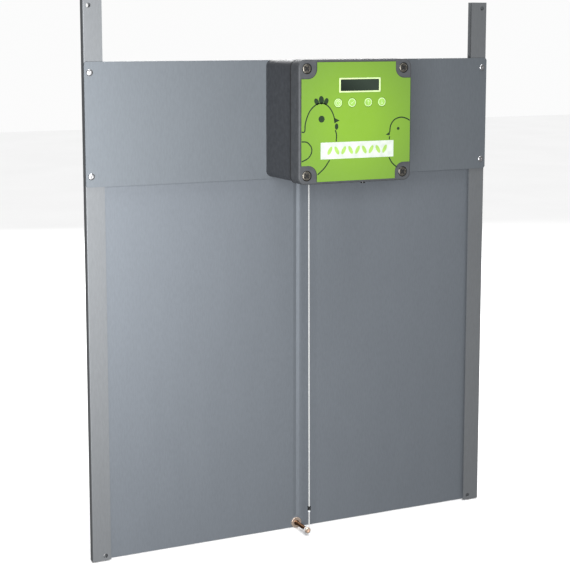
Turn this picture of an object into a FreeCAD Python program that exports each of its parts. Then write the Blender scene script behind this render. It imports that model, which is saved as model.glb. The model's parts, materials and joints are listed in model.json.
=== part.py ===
import FreeCAD, Part
import math
import os
import re
import Sketcher

# An automatic coop door: an aluminium slider runs in two wall rails and is lifted by a cord
# from a battery driven winch in an enclosure on the cover plate. All sizes are millimetres.
# X is to the right, Y into the wall (fronts face -Y) and Z up. The origin is midway between
# the two lower screw holes, in the wall plane.

V = FreeCAD.Vector
doc = FreeCAD.newDocument("coop_door")

SIZES = {
    # rails
    "overall_width": 452, "rail_foot": -4.5, "rail_length": 550, "rail_face": 19,
    "rail_depth": 7, "rail_wall": 1.2, "rail_bend": 1.1, "screw_hole_r": 2.25,
    "lower_hole_inset": 13.3, "upper_hole_inset": 5.8, "upper_hole_height": 539.3,
    # cover plate and its rivets
    "plate_low": 367.7, "plate_height": 119, "plate_thick": 1.5, "plate_corner_r": 3,
    "rivet_inset_x": 5.5, "rivet_inset_z": 10.2, "rivet_r": 1.6, "rivet_head_r": 3.3,
    "rivet_head": 1.1, "rivet_mandrel_r": 0.9,
    # slider
    "slider_width": 434, "slider_height": 400, "slider_thick": 1.5, "slider_gap": 1.6,
    "notch_width": 7.6, "notch_height": 8, "crease_width": 7, "crease_depth": 0.5,
    "crease_stop": 12,
    # lifting bolt, washer and cord end
    "bolt_height": 0.2, "bolt_r": 2, "bolt_tip_y": 31.4, "bolt_head_r": 3.1,
    "bolt_head": 2.2, "bolt_dimple_r": 1.5, "bolt_collar_r": 2.8, "bolt_collar": 1.3,
    "bolt_rivet_r": 3.2, "bolt_rivet": 0.9, "washer_r": 5.7, "washer_thick": 1,
    "cord_r": 0.7, "cord_y": -28, "cord_top_x": 1.5, "cord_slack": 0.05,
    "crimp_low": 21, "crimp_height": 4.2, "crimp_r": 1.9, "bead_r": 1.25, "knot_r": 1.15,
    "knot_rise": 0.5,
    # enclosure
    "box_x": 24.4, "box_z": 428.3, "box_width": 122, "box_height": 117, "box_depth": 56.2,
    "box_wall": 2.5, "box_corner_r": 6, "gasket": 1, "gasket_width": 2.2,
    "lid_overhang": 1.5, "lid_depth": 18.3, "lid_corner_r": 7.5, "lid_edge_r": 1.8,
    "panel_rise": 1.3, "panel_width": 120.4, "panel_height": 115, "label_thick": 0.2,
    "corner_pad_x": 16.8, "corner_pad_z": 16, "corner_pad_r": 9.5,
    "lid_screw_x": 53.4, "lid_screw_z": 51.4, "column_r": 5.2, "screw_clear_r": 2.1,
    "lid_screw_r": 1.9, "lid_screw_head_r": 4.8, "lid_screw_head": 2.6, "head_pocket_r": 5.2,
    "lid_screw_reach": 12, "base_screw_r": 1.5, "base_screw_head_r": 2.9,
    "base_screw_reach": 10, "thread_slack": 0.05, "cross_length": 5.4, "cross_width": 1.1,
    # display, keys and light sensor
    "display_x": 28, "display_z": 463.5, "display_width": 46, "display_height": 14.2,
    "window_slack": 0.1, "window_thick": 1.2, "key_z": 446.6, "key_pitch_near": 8.95,
    "key_pitch_far": 24.25, "key_r": 4.4, "key_slack": 0.25, "key_proud": 0.4,
    "key_flange_r": 5.5, "key_flange": 0.8, "key_stem_r": 1.5, "key_travel": 0.4,
    "sensor_x": 36, "sensor_y": -77.5, "sensor_r": 2.4, "sensor_drop": 1.6,
    "sensor_flange_r": 3.4, "sensor_flange": 1.2,
    # control board
    "board_low_x": -14, "board_width": 80, "board_low_z": 431, "board_height": 44,
    "board_y": -75, "board_thick": 1.6, "board_inset": 4, "board_post_r": 3.2,
    "board_screw_r": 1.2, "board_screw_head_r": 2.4, "switch_side": 6, "switch_body": 2.6,
    "switch_button_r": 1.75,
    # batteries
    "cell_r": 7.1, "cell_length": 50.5, "cell_nub_r": 2.7, "cell_nub": 1, "cell_pitch": 15,
    "holder_low_x": -19, "holder_low_z": 421.6, "holder_length": 61, "holder_height": 62,
    "holder_depth": 13, "holder_floor": 1.2, "holder_wall": 1.2, "rib": 0.6,
    "contact_thick": 0.4, "spring_r": 0.5,
    # winch: two plates, drum, three gears and a motor
    "winch_low_x": -30.5, "winch_width": 81.5, "winch_low_z": 382.6, "winch_height": 36.4,
    "rear_plate_y": -12.2, "front_plate_y": -20.6, "winch_plate": 1.2,
    "drum_x": -9.2, "drum_z": 397.5, "drum_core_r": 9.9, "drum_flange_r": 14,
    "drum_flange": 0.8, "drum_low_y": -22.7, "drum_length": 10.6, "drum_hub_r": 4,
    "drum_shaft_r": 2, "bush_r": 3.5, "bush_flange_r": 4.5, "bush_flange": 0.5,
    "running_gap": 0.05, "coil_width": 3,
    "tooth_module": 1, "drum_teeth": 40, "idler_teeth": 30, "pinion_teeth": 12,
    "idler_drop": 2, "motor_rise": 4, "backlash": 0.16,
    "gear_a_y": -14, "gear_a_width": 3, "gear_b_y": -17.5, "gear_b_width": 2.4,
    "idler_axle_r": 1.5, "motor_r": 12.2, "motor_length": 28, "motor_shaft_r": 1,
    "motor_boss_r": 3, "motor_cap": 3.2, "spacer_r": 2.4, "winch_screw_r": 1.2,
    "winch_screw_head_r": 2.3, "winch_screw_head": 1.6,
    # cord outlet
    "outlet_r": 1.7, "outlet_body_r": 3, "outlet_flange_r": 4.6, "outlet_flange": 1.5,
}

sheet = doc.addObject("Spreadsheet::Sheet", "Sizes")
for row, (alias, number) in enumerate(SIZES.items(), start=1):
    sheet.set(f"A{row}", alias)
    sheet.set(f"B{row}", str(number))
    sheet.setAlias(f"B{row}", alias)
working = doc.addObject("Spreadsheet::Sheet", "Working")
doc.recompute()

# Places that several pieces share, as formulas of the sheet's sizes.
HALF_WIDTH = "(overall_width / 2)"
PLATE_BACK = "(-rail_depth)"
PLATE_FACE = "(-rail_depth - plate_thick)"
PLATE_TOP = "(plate_low + plate_height)"
SLIDER_FRONT = "(-slider_gap - slider_thick)"
BOX_RIM = f"({PLATE_FACE} - box_depth)"
LID_RIM = f"({BOX_RIM} - gasket)"
LID_CORNER_FACE = f"({LID_RIM} - lid_depth)"
PANEL_FACE = f"({LID_CORNER_FACE} - panel_rise)"
LABEL_FACE = f"({PANEL_FACE} - label_thick)"
LID_INSIDE = f"({LID_CORNER_FACE} + box_wall)"
BOX_FLOOR = "(box_z - box_height / 2)"
LID_FLOOR = f"({BOX_FLOOR} - lid_overhang)"
BOARD_FRONT = "(board_y - board_thick)"
CORD_END_X = "(bolt_r + cord_r + cord_slack)"
CRIMP_TOP = "(crimp_low + crimp_height)"
PITCH_A = "((drum_teeth + pinion_teeth) * tooth_module / 2)"
PITCH_B = "((idler_teeth + pinion_teeth) * tooth_module / 2)"
IDLER_X = f"(drum_x + sqrt({PITCH_A}^2 - idler_drop^2))"
IDLER_Z = "(drum_z - idler_drop)"
MOTOR_X = f"({IDLER_X} + sqrt({PITCH_B}^2 - motor_rise^2))"
MOTOR_Z = f"({IDLER_Z} + motor_rise)"
KEYS = {"key_clock": "-key_pitch_far", "key_confirm": "-key_pitch_near",
        "key_up": "key_pitch_near", "key_down": "key_pitch_far"}
CORNERS = [(sx, sz) for sx in (-1, 1) for sz in (-1, 1)]

# A cylinder stands along +Z, so these turn it to the front, to the back or to the right.
TO_FRONT = FreeCAD.Rotation(V(1, 0, 0), 90)
TO_BACK = FreeCAD.Rotation(V(1, 0, 0), -90)
TO_RIGHT = FreeCAD.Rotation(V(0, 1, 0), 90)
UPRIGHT = FreeCAD.Rotation()

subparts = []


def sized(formula):
    """A formula of plain size names as an expression on the Sizes sheet."""
    def named(match):
        word = match.group()
        return f"Sizes.{word}" if word in SIZES else word
    return re.sub(r"[a-z_]+", named, str(formula))


def number_of(formula):
    """The number that a formula gives, worked out in a sheet of its own."""
    working.set("A1", f"={sized(formula)}")
    working.recompute()
    return float(working.get("A1"))


def point(x, y, z):
    return V(number_of(x), number_of(y), number_of(z))


def place(obj, at, turn=UPRIGHT):
    obj.Placement = FreeCAD.Placement(V(), turn)
    for letter, formula in zip("xyz", at):
        obj.setExpression(f"Placement.Base.{letter}", sized(formula))
    return obj


def block(low, size, name="block"):
    """A box from its low corner."""
    obj = doc.addObject("Part::Box", name)
    for side, formula in zip(("Length", "Width", "Height"), size):
        obj.setExpression(side, sized(formula))
    return place(obj, low)


def rod(radius, length, at, turn=TO_FRONT, name="rod"):
    """A cylinder that starts at a point and runs along the turned Z axis."""
    obj = doc.addObject("Part::Cylinder", name)
    obj.setExpression("Radius", sized(radius))
    obj.setExpression("Height", sized(length))
    return place(obj, at, turn)


def cone(start_r, end_r, length, at, turn=TO_FRONT):
    obj = doc.addObject("Part::Cone", "cone")
    for prop, formula in zip(("Radius1", "Radius2", "Height"), (start_r, end_r, length)):
        obj.setExpression(prop, sized(formula))
    return place(obj, at, turn)


def ring(radius, wire_r, at, turn=TO_FRONT):
    obj = doc.addObject("Part::Torus", "ring")
    obj.setExpression("Radius1", sized(radius))
    obj.setExpression("Radius2", sized(wire_r))
    return place(obj, at, turn)


def ball(radius, at):
    obj = doc.addObject("Part::Sphere", "ball")
    obj.setExpression("Radius", sized(radius))
    return place(obj, at)


def fuse(*parts):
    obj = doc.addObject("Part::MultiFuse", "joined")
    obj.Shapes = list(parts)
    obj.Refine = True
    return obj


def cut(base, *tools):
    obj = doc.addObject("Part::Cut", "cut")
    obj.Base = base
    obj.Tool = tools[0] if len(tools) == 1 else fuse(*tools)
    obj.Refine = True
    return obj


def group(*solids):
    obj = doc.addObject("Part::Compound", "group")
    obj.Links = list(solids)
    return obj


def is_along(edge, direction):
    """Whether an edge is straight and parallel to a direction."""
    return isinstance(edge.Curve, Part.Line) and abs(edge.Curve.Direction.dot(direction)) > 0.999


def rounded(base, radius, wanted):
    """Round the edges of base that wanted() picks."""
    doc.recompute()
    size = number_of(radius)
    picked = [i for i, edge in enumerate(base.Shape.Edges, start=1) if wanted(edge)]
    obj = doc.addObject("Part::Fillet", "rounded")
    obj.Base = base
    obj.Edges = [(i, size, size) for i in picked]
    return obj


def subpart(name, obj):
    """Give a finished piece its own label, under which it is written out."""
    obj.Label = name
    subparts.append(obj)
    return obj


def shaped(name, shape):
    """A piece whose shape is worked out with Part's own functions."""
    obj = doc.addObject("Part::Feature", name)
    obj.Shape = shape
    return subpart(name, obj)


# PartDesign helpers: flat sheets drawn in the XZ plane and padded towards the front.

def new_sketch(body, plane, name):
    sketch = body.newObject("Sketcher::SketchObject", name)
    support = [f for f in body.Origin.OriginFeatures if f.Role == plane][0]
    sketch.AttachmentSupport = [(support, "")]
    sketch.MapMode = "FlatFace"
    return sketch


def bind(sketch, index, name, formula):
    sketch.renameConstraint(index, name)
    sketch.setExpression(f"Constraints.{name}", sized(formula))


def add_rectangle(sketch, low_x, low_z, width, height, name):
    """A rectangle whose low corner and sides follow the sheet."""
    x, z = number_of(low_x), number_of(low_z)
    right, top = x + number_of(width), z + number_of(height)
    corners = [V(x, z, 0), V(right, z, 0), V(right, top, 0), V(x, top, 0)]
    first = sketch.GeometryCount
    for i in range(4):
        sketch.addGeometry(Part.LineSegment(corners[i], corners[(i + 1) % 4]), False)
    for i in range(4):
        following = first + (i + 1) % 4
        sketch.addConstraint(Sketcher.Constraint("Coincident", first + i, 2, following, 1))
        direction = "Horizontal" if i % 2 == 0 else "Vertical"
        sketch.addConstraint(Sketcher.Constraint(direction, first + i))
    spans = [("DistanceX", first, 1, first, 2, right - x, "wide", width),
             ("DistanceY", first + 1, 1, first + 1, 2, top - z, "high", height),
             ("DistanceX", -1, 1, first, 1, x, "left", low_x),
             ("DistanceY", -1, 1, first, 1, z, "low", low_z)]
    for kind, a, a_end, b, b_end, span, word, formula in spans:
        index = sketch.addConstraint(Sketcher.Constraint(kind, a, a_end, b, b_end, span))
        bind(sketch, index, f"{name}_{word}", formula)


def add_circle(sketch, x, z, radius, name):
    centre = V(number_of(x), number_of(z), 0)
    size = number_of(radius)
    index = sketch.addGeometry(Part.Circle(centre, V(0, 0, 1), size), False)
    places = [(Sketcher.Constraint("Radius", index, size), "r", radius),
              (Sketcher.Constraint("DistanceX", -1, 1, index, 3, centre.x), "x", x),
              (Sketcher.Constraint("DistanceY", -1, 1, index, 3, centre.y), "z", z)]
    for constraint, word, formula in places:
        bind(sketch, sketch.addConstraint(constraint), f"{name}_{word}", formula)


def sheet_body(name, outline, back_y, thick, holes=(), windows=(), corner_r=None):
    """A flat sheet: a padded rectangle with round holes, windows and rounded corners."""
    body = doc.addObject("PartDesign::Body", name)
    sketch = new_sketch(body, "XZ_Plane", f"{name}_outline")
    add_rectangle(sketch, *outline, "sheet")
    for i, (x, z, radius) in enumerate(holes):
        add_circle(sketch, x, z, radius, f"hole_{chr(97 + i)}")
    for i, window in enumerate(windows):
        add_rectangle(sketch, *window, f"window_{chr(97 + i)}")
    sketch.setExpression("AttachmentOffset.Base.z", sized(f"-({back_y})"))
    pad = body.newObject("PartDesign::Pad", f"{name}_pad")
    pad.Profile = sketch
    pad.setExpression("Length", sized(thick))
    doc.recompute()
    if corner_r:
        x, z = number_of(outline[0]), number_of(outline[1])
        across, up = number_of(outline[2]), number_of(outline[3])
        ends = [(x + a * across, z + b * up) for a in (0, 1) for b in (0, 1)]

        def at_corner(edge):
            middle = edge.BoundBox.Center
            near = [abs(middle.x - cx) + abs(middle.z - cz) < 0.01 for cx, cz in ends]
            return is_along(edge, V(0, 1, 0)) and any(near)

        picked = [f"Edge{i}" for i, e in enumerate(pad.Shape.Edges, start=1) if at_corner(e)]
        round_off = body.newObject("PartDesign::Fillet", f"{name}_corners")
        round_off.Base = (pad, picked)
        round_off.setExpression("Radius", sized(corner_r))
        doc.recompute()
    return body


def profile_feature(body, kind, name, plane, offset, triangle, length, reverse):
    """A pad or pocket of a triangle, which presses the crease into the slider."""
    sketch = new_sketch(body, plane, f"{name}_profile")
    points = [V(number_of(x), number_of(y), 0) for x, y in triangle]
    for i in range(3):
        sketch.addGeometry(Part.LineSegment(points[i], points[(i + 1) % 3]), False)
    sketch.setExpression("AttachmentOffset.Base.z", sized(offset))
    feature = body.newObject(kind, name)
    feature.Profile = sketch
    feature.setExpression("Length", sized(length))
    feature.Reversed = reverse
    doc.recompute()
    return feature


# Rails, cover plate and slider.

def make_rail(name, side):
    """A channel that opens towards the slider: a front, an outer and a back wall, with a
    screw hole through front and back near each end."""
    outer = f"({side} * {HALF_WIDTH})"
    face_left = outer if side < 0 else f"({HALF_WIDTH} - rail_face)"
    side_left = outer if side < 0 else f"({HALF_WIDTH} - rail_wall)"
    face = ("rail_face", "rail_wall", "rail_length")

    def outer_bend(edge):
        """The long outside edge, on the side that faces away from the slot."""
        middle = edge.BoundBox.Center
        outside = side * middle.x > number_of(f"{HALF_WIDTH} - rail_wall / 2")
        depth = abs(middle.y + number_of("rail_depth / 2"))
        return is_along(edge, V(0, 0, 1)) and outside and depth > number_of("rail_depth / 2") - 0.01

    front = rounded(block((face_left, "-rail_depth", "rail_foot"), face), "rail_bend", outer_bend)
    back = block((face_left, "-rail_wall", "rail_foot"), face)
    outside_wall = block((side_left, "rail_wall - rail_depth", "rail_foot"),
                         ("rail_wall", "rail_depth - 2 * rail_wall", "rail_length"))
    holes = []
    for inset, height in (("lower_hole_inset", "0"), ("upper_hole_inset", "upper_hole_height")):
        at = (f"{side} * ({HALF_WIDTH} - {inset})", "1", height)
        holes.append(rod("screw_hole_r", "rail_depth + 2", at))
    rivet_holes = [rod("rivet_r", "rail_depth / 2", (x, "-rail_depth / 2", z))
                   for x, z in rivet_places() if side * number_of(x) > 0]
    subpart(name, group(cut(front, *holes, *rivet_holes), cut(back, *holes), outside_wall))


def rivet_places():
    """The four rivet centres."""
    rows = ("(plate_low + rivet_inset_z)", f"({PLATE_TOP} - rivet_inset_z)")
    return [(f"({side} * ({HALF_WIDTH} - rivet_inset_x))", z) for side in (-1, 1) for z in rows]


def box_screw_places():
    """The four corner columns of the enclosure, which take the lid and the base screws."""
    return [(f"(box_x + {sx} * lid_screw_x)", f"(box_z + {sz} * lid_screw_z)")
            for sx, sz in CORNERS]


def make_cover_plate():
    holes = [(x, z, "rivet_r") for x, z in rivet_places()]
    body = sheet_body("cover_plate_sheet",
                      (f"-{HALF_WIDTH}", "plate_low", "overall_width", "plate_height"),
                      PLATE_BACK, "plate_thick", holes, corner_r="plate_corner_r")
    sinks = [cone("base_screw_head_r", "base_screw_r", "plate_thick", (x, PLATE_BACK, z))
             for x, z in box_screw_places()]
    subpart("cover_plate", cut(body, *sinks))


def make_cover_rivets():
    """Blind rivets: domed head, shank, upset tail and the stub of the mandrel."""
    rivets = []
    for x, z in rivet_places():
        dome = rounded(rod("rivet_head_r", "rivet_head", (x, PLATE_FACE, z)), "rivet_head * 0.8",
                       lambda e: e.BoundBox.YMax < number_of(f"{PLATE_FACE} - rivet_head / 2"))
        eye = rod("rivet_mandrel_r + 0.25", "0.5", (x, f"{PLATE_FACE} - rivet_head + 0.5", z))
        shank = rod("rivet_r", "plate_thick + rail_wall + 0.2", (x, "rail_wall - rail_depth + 0.2", z))
        tail = rod("rivet_r + 0.7", "1.8", (x, "rail_wall - rail_depth + 1.8", z))
        mandrel = rod("rivet_mandrel_r", "rivet_head", (x, PLATE_FACE, z))
        rivets.append(fuse(cut(dome, eye), shank, tail, mandrel))
    subpart("cover_rivets", group(*rivets))


def make_slider():
    """The sheet slider, with lower corner notches round the wall screws and a pressed crease."""
    body = sheet_body("slider_panel",
                      ("-slider_width / 2", "rail_foot", "slider_width", "slider_height"),
                      "-slider_gap", "slider_thick", [("0", "bolt_height", "bolt_r")])
    notches = body.newObject("PartDesign::Pocket", "notches")
    sketch = new_sketch(body, "XZ_Plane", "notch_outline")
    for left, name in (("-slider_width / 2 - 1", "left"),
                       ("slider_width / 2 - notch_width", "right")):
        add_rectangle(sketch, left, "rail_foot - 1", "notch_width + 1", "notch_height + 1", name)
    notches.Profile = sketch
    notches.Reversed = False
    notches.Type = "ThroughAll"
    notches.Midplane = True
    doc.recompute()
    top_of_stop = "(rail_foot + crease_stop)"
    valley = [("-crease_width / 2", SLIDER_FRONT), ("crease_width / 2", SLIDER_FRONT),
              ("0", f"{SLIDER_FRONT} + crease_depth")]
    ridge = [("-crease_width / 2", "-slider_gap"), ("crease_width / 2", "-slider_gap"),
             ("0", "-slider_gap + crease_depth")]
    run = "(slider_height - crease_stop)"
    profile_feature(body, "PartDesign::Pad", "crease_ridge", "XY_Plane", top_of_stop, ridge, run,
                    False)
    before = body.Shape.Volume
    profile_feature(body, "PartDesign::Pocket", "crease_valley", "XY_Plane", top_of_stop, valley,
                    run, True)
    removed = before - body.Shape.Volume
    expected = number_of(f"crease_width * crease_depth / 2 * {run}")
    assert abs(removed - expected) < 1, "the crease has to be pressed in by its own volume"
    subpart("slider_panel", body)


# Lifting bolt, washer and the end of the cord.

def make_lift_bolt():
    tip_back = "(-bolt_tip_y + bolt_head)"
    shank = rod("bolt_r", "bolt_tip_y - slider_gap - 0.5", ("0", "-slider_gap", "bolt_height"))
    rivet = rounded(rod("bolt_rivet_r", "bolt_rivet", ("0", "bolt_rivet - slider_gap",
                                                       "bolt_height")), "bolt_rivet * 0.6",
                    lambda e: e.BoundBox.YMin > number_of("bolt_rivet / 2 - slider_gap"))
    collar = rod("bolt_collar_r", "bolt_collar", ("0", f"{SLIDER_FRONT} - washer_thick",
                                                  "bolt_height"))
    head = rounded(rod("bolt_head_r", "bolt_head", ("0", tip_back, "bolt_height")), "0.6",
                   lambda e: isinstance(e.Curve, Part.Circle))
    dimple = rod("bolt_dimple_r", "1.5", ("0", "1 - bolt_tip_y", "bolt_height"))
    subpart("lift_bolt", cut(fuse(rivet, shank, collar, head), dimple))


def make_bolt_washer():
    disc = rounded(rod("washer_r", "washer_thick", ("0", SLIDER_FRONT, "bolt_height")), "0.3",
                   lambda e: e.BoundBox.YMax < number_of(f"{SLIDER_FRONT} - washer_thick / 2")
                   and isinstance(e.Curve, Part.Circle))
    hole = rod("bolt_r", "washer_thick * 2", ("0", f"{SLIDER_FRONT} + 0.5", "bolt_height"))
    subpart("bolt_washer", cut(disc, hole))


def make_cord_loop():
    """The cord's end: down beside the bolt, three quarters round it and into a knot on top."""
    strand = rod("cord_r", "crimp_low - bolt_height", (CORD_END_X, "cord_y", "bolt_height"), UPRIGHT)
    centre = ("0", "cord_y", "bolt_height")
    wrap = ring(CORD_END_X, "cord_r", centre, TO_FRONT.multiply(FreeCAD.Rotation(V(0, 0, 1), 90)))
    wrap.Angle3 = 270
    knot = ball("knot_r", ("0", "cord_y", f"bolt_height + {CORD_END_X} + knot_rise"))
    subpart("cord_loop", fuse(strand, wrap, knot))


def make_crimp_and_bead():
    at = (CORD_END_X, "cord_y", "crimp_low")
    sleeve = rounded(rod("crimp_r", "crimp_height", at, UPRIGHT), "0.5",
                     lambda e: isinstance(e.Curve, Part.Circle))
    subpart("cord_crimp", sleeve)
    bead = ball("bead_r", (CORD_END_X, "cord_y", "crimp_low - bead_r - 0.1"))
    strand = rod("cord_r", "4 * bead_r", (CORD_END_X, "cord_y", "crimp_low - 3 * bead_r"), UPRIGHT)
    subpart("cord_bead", cut(bead, strand))


def straight_tube(name, start, end):
    """A straight run of the cord between two points."""
    run = end - start
    shaped(name, Part.makeCylinder(number_of("cord_r"), run.Length, start, run))


def make_cord():
    """The hanging cord, from the outlet bush to the crimp, and its run inside the enclosure."""
    outlet = point("cord_top_x", "cord_y", f"{BOX_FLOOR} - outlet_flange / 2")
    straight_tube("lift_cord", outlet, point(CORD_END_X, "cord_y", CRIMP_TOP))
    straight_tube("cord_upper", point("cord_top_x", "cord_y", "drum_z"), outlet)


# Enclosure.

def box_solid(width, height, back_y, depth, corner_r):
    """A block of the enclosure, with its four edges along Y rounded."""
    low = (f"box_x - ({width}) / 2", f"({back_y}) - ({depth})", f"box_z - ({height}) / 2")
    solid = block(low, (width, depth, height))
    return rounded(solid, corner_r, lambda edge: is_along(edge, V(0, 1, 0)))


def make_enclosure_base():
    inner_w, inner_h = "(box_width - 2 * box_wall)", "(box_height - 2 * box_wall)"
    inner_back = f"({PLATE_FACE} - box_wall)"
    outer = box_solid("box_width", "box_height", PLATE_FACE, "box_depth", "box_corner_r")
    inner = box_solid(inner_w, inner_h, inner_back, "box_depth", "(box_corner_r - box_wall)")
    shell = cut(outer, inner)
    columns = [rod("column_r", "box_depth - 1", (x, PLATE_FACE, z))
               for x, z in box_screw_places()]
    winch_posts = [rod("spacer_r + 0.6", f"{inner_back} - rear_plate_y + 1", (x, f"{inner_back} + 1", z))
                   for x, z in winch_screw_places()]
    trimmed = fuse(shell, *columns, *winch_posts)
    flush = cut(trimmed, frame_around_box())
    rim_y = f"{BOX_RIM} + lid_screw_reach"
    tools = [rod("lid_screw_r + thread_slack", "lid_screw_reach + 1", (x, rim_y, z))
             for x, z in box_screw_places()]
    tools += [rod("base_screw_r + thread_slack", "base_screw_reach + 1", (x, f"{PLATE_FACE} + 1", z))
              for x, z in box_screw_places()]
    tools += [rod("winch_screw_r + thread_slack", "6", (x, f"{PLATE_FACE} - 1", z))
              for x, z in winch_screw_places()]
    tools.append(rod("outlet_body_r", "box_wall + 2", ("cord_top_x", "cord_y", f"{BOX_FLOOR} - 1"),
                     UPRIGHT))
    subpart("enclosure_base", cut(flush, *tools))


def frame_around_box():
    """All the space round the enclosure base, which trims the corner columns flush with it."""
    around = block(("box_x - box_width", f"{BOX_RIM} - 1", "box_z - box_height"),
                   ("box_width * 2", "box_depth + 2", "box_height * 2"))
    core = box_solid("box_width", "box_height", f"({PLATE_FACE} + 2)", "(box_depth + 4)",
                     "box_corner_r")
    return cut(around, core)


def make_base_screws():
    """Countersunk screws from behind the cover plate into the enclosure's corner columns."""
    screws = []
    for x, z in box_screw_places():
        head = cone("base_screw_head_r", "base_screw_r", "plate_thick", (x, PLATE_BACK, z))
        shank = rod("base_screw_r", "base_screw_reach", (x, PLATE_FACE, z))
        screws.append(fuse(head, shank))
    subpart("base_screws", group(*screws))


def make_gasket():
    outer = box_solid("box_width - 1", "box_height - 1", BOX_RIM, "gasket", "(box_corner_r - 0.5)")
    inner = box_solid("box_width - 1 - 2 * gasket_width", "box_height - 1 - 2 * gasket_width",
                      f"({BOX_RIM} + 1)", "gasket + 2", "(box_corner_r - gasket_width - 0.5)")
    gaps = [rod("column_r + 0.4", "gasket + 2", (x, f"{BOX_RIM} + 1", z))
            for x, z in box_screw_places()]
    pads = [cut(rod("column_r + 0.4", "gasket", (x, BOX_RIM, z)),
                rod("screw_clear_r", "gasket + 2", (x, f"{BOX_RIM} + 1", z)))
            for x, z in box_screw_places()]
    trim = cut(block(("box_x - box_width", f"{BOX_RIM} - gasket - 1", "box_z - box_height"),
                     ("box_width * 2", "gasket + 2", "box_height * 2")),
               box_solid("box_width - 1", "box_height - 1", f"({BOX_RIM} + 2)", "(gasket + 4)",
                         "(box_corner_r - 0.5)"))
    subpart("lid_gasket", cut(fuse(cut(outer, inner, *gaps), *pads), trim))


def corner_pads(back_y, depth):
    """The four corner areas that stay below the lid's raised panel, each with a round corner."""
    pads = []
    for sx, sz in CORNERS:
        edge_x = f"(box_x + {sx} * panel_width / 2)"
        edge_z = f"(box_z + {sz} * panel_height / 2)"
        low_x = edge_x if sx < 0 else f"({edge_x} - corner_pad_x)"
        low_z = edge_z if sz < 0 else f"({edge_z} - corner_pad_z)"
        pad = block((low_x, f"({back_y}) - ({depth})", low_z),
                    ("corner_pad_x", depth, "corner_pad_z"))

        def inner_corner(edge, sx=sx, sz=sz):
            middle = edge.BoundBox.Center
            inward_x = sx * (middle.x - number_of(edge_x)) < -1
            inward_z = sz * (middle.z - number_of(edge_z)) < -1
            return is_along(edge, V(0, 1, 0)) and inward_x and inward_z

        pads.append(rounded(pad, "corner_pad_r", inner_corner))
    return pads


def notched_panel(back_y, depth):
    """The raised panel's outline: a rectangle less the four corner pads."""
    low = ("box_x - panel_width / 2", f"({back_y}) - ({depth})", "box_z - panel_height / 2")
    whole = block(low, ("panel_width", depth, "panel_height"))
    return cut(whole, *corner_pads(f"({back_y}) + 1", f"({depth}) + 2"))


def display_opening(slack, back_y, depth):
    """The display's rectangle, larger by slack on each side."""
    low = (f"display_x - display_width / 2 - {slack}", f"({back_y}) - ({depth})",
           f"display_z - display_height / 2 - {slack}")
    return block(low, (f"display_width + 2 * {slack}", depth, f"display_height + 2 * {slack}"))


def key_places():
    return {name: f"(display_x + {offset})" for name, offset in KEYS.items()}


def make_enclosure_lid():
    width, height = "(box_width + 2 * lid_overhang)", "(box_height + 2 * lid_overhang)"
    inner_w, inner_h = "(box_width - 2 * box_wall)", "(box_height - 2 * box_wall)"
    outer = rounded(box_solid(width, height, LID_RIM, "lid_depth", "lid_corner_r"), "lid_edge_r",
                    lambda e: e.BoundBox.YMax < number_of(f"{LID_CORNER_FACE} + 0.01"))
    inner = box_solid(inner_w, inner_h, f"({LID_RIM} + 1)", f"({LID_RIM} + 1 - {LID_INSIDE})",
                      "(box_corner_r - box_wall)")
    columns = [rod("column_r", f"{LID_RIM} - {LID_INSIDE} + 1", (x, LID_RIM, z))
               for x, z in box_screw_places()]
    posts = [rod("board_post_r", f"{BOARD_FRONT} - {LID_INSIDE} + 1", (x, BOARD_FRONT, z))
             for x, z in board_screw_places()]
    raised = notched_panel(f"({LID_CORNER_FACE} + 0.5)", "(panel_rise + 0.5)")
    body = fuse(cut(outer, inner), *columns, *posts, raised)
    tools = [rod("screw_clear_r", "lid_depth + 4", (x, f"{LID_RIM} + 2", z))
             for x, z in box_screw_places()]
    tools += [rod("head_pocket_r", "lid_screw_head + 2", (x, f"{LID_CORNER_FACE} + lid_screw_head", z))
              for x, z in box_screw_places()]
    tools += [rod("board_screw_r + thread_slack", "6", (x, f"{BOARD_FRONT} + 1", z))
              for x, z in board_screw_places()]
    tools += [rod("key_r + key_slack", "8", (x, f"{LID_INSIDE} + 2", "key_z"))
              for x in key_places().values()]
    tools.append(display_opening("window_slack", f"({LID_INSIDE} + 2)", "8"))
    tools.append(rod("sensor_r + thread_slack", "box_wall + lid_overhang + 4",
                     ("sensor_x", "sensor_y", f"{LID_FLOOR} - 1"), UPRIGHT))
    subpart("enclosure_lid", cut(body, *tools))


def make_lid_screws():
    """Pan head screws with a cross recess, through the lid into the base's columns."""
    screws = []
    head_back = f"({LID_CORNER_FACE} + lid_screw_head)"
    for x, z in box_screw_places():
        head = rounded(rod("lid_screw_head_r", "lid_screw_head", (x, head_back, z)), "1.2",
                       lambda e: e.BoundBox.YMax < number_of(f"{LID_CORNER_FACE} + 0.01"))
        length = f"({BOX_RIM} + lid_screw_reach - 0.5 - {head_back})"
        shank = rod("lid_screw_r", length, (x, f"{head_back} + {length}", z))
        flat = block((f"{x} - cross_length / 2", f"{LID_CORNER_FACE} - 0.1", f"{z} - cross_width / 2"),
                     ("cross_length", "1.5", "cross_width"))
        tall = block((f"{x} - cross_width / 2", f"{LID_CORNER_FACE} - 0.1", f"{z} - cross_length / 2"),
                     ("cross_width", "1.5", "cross_length"))
        screws.append(cut(fuse(head, shank), fuse(flat, tall)))
    subpart("lid_screws", group(*screws))


def make_label():
    tools = [rod("key_r + key_slack", "2", (x, f"{PANEL_FACE} + 1", "key_z"))
             for x in key_places().values()]
    tools.append(display_opening("window_slack", f"({PANEL_FACE} + 1)", "2"))
    subpart("front_label", cut(notched_panel(PANEL_FACE, "label_thick"), *tools))


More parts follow.
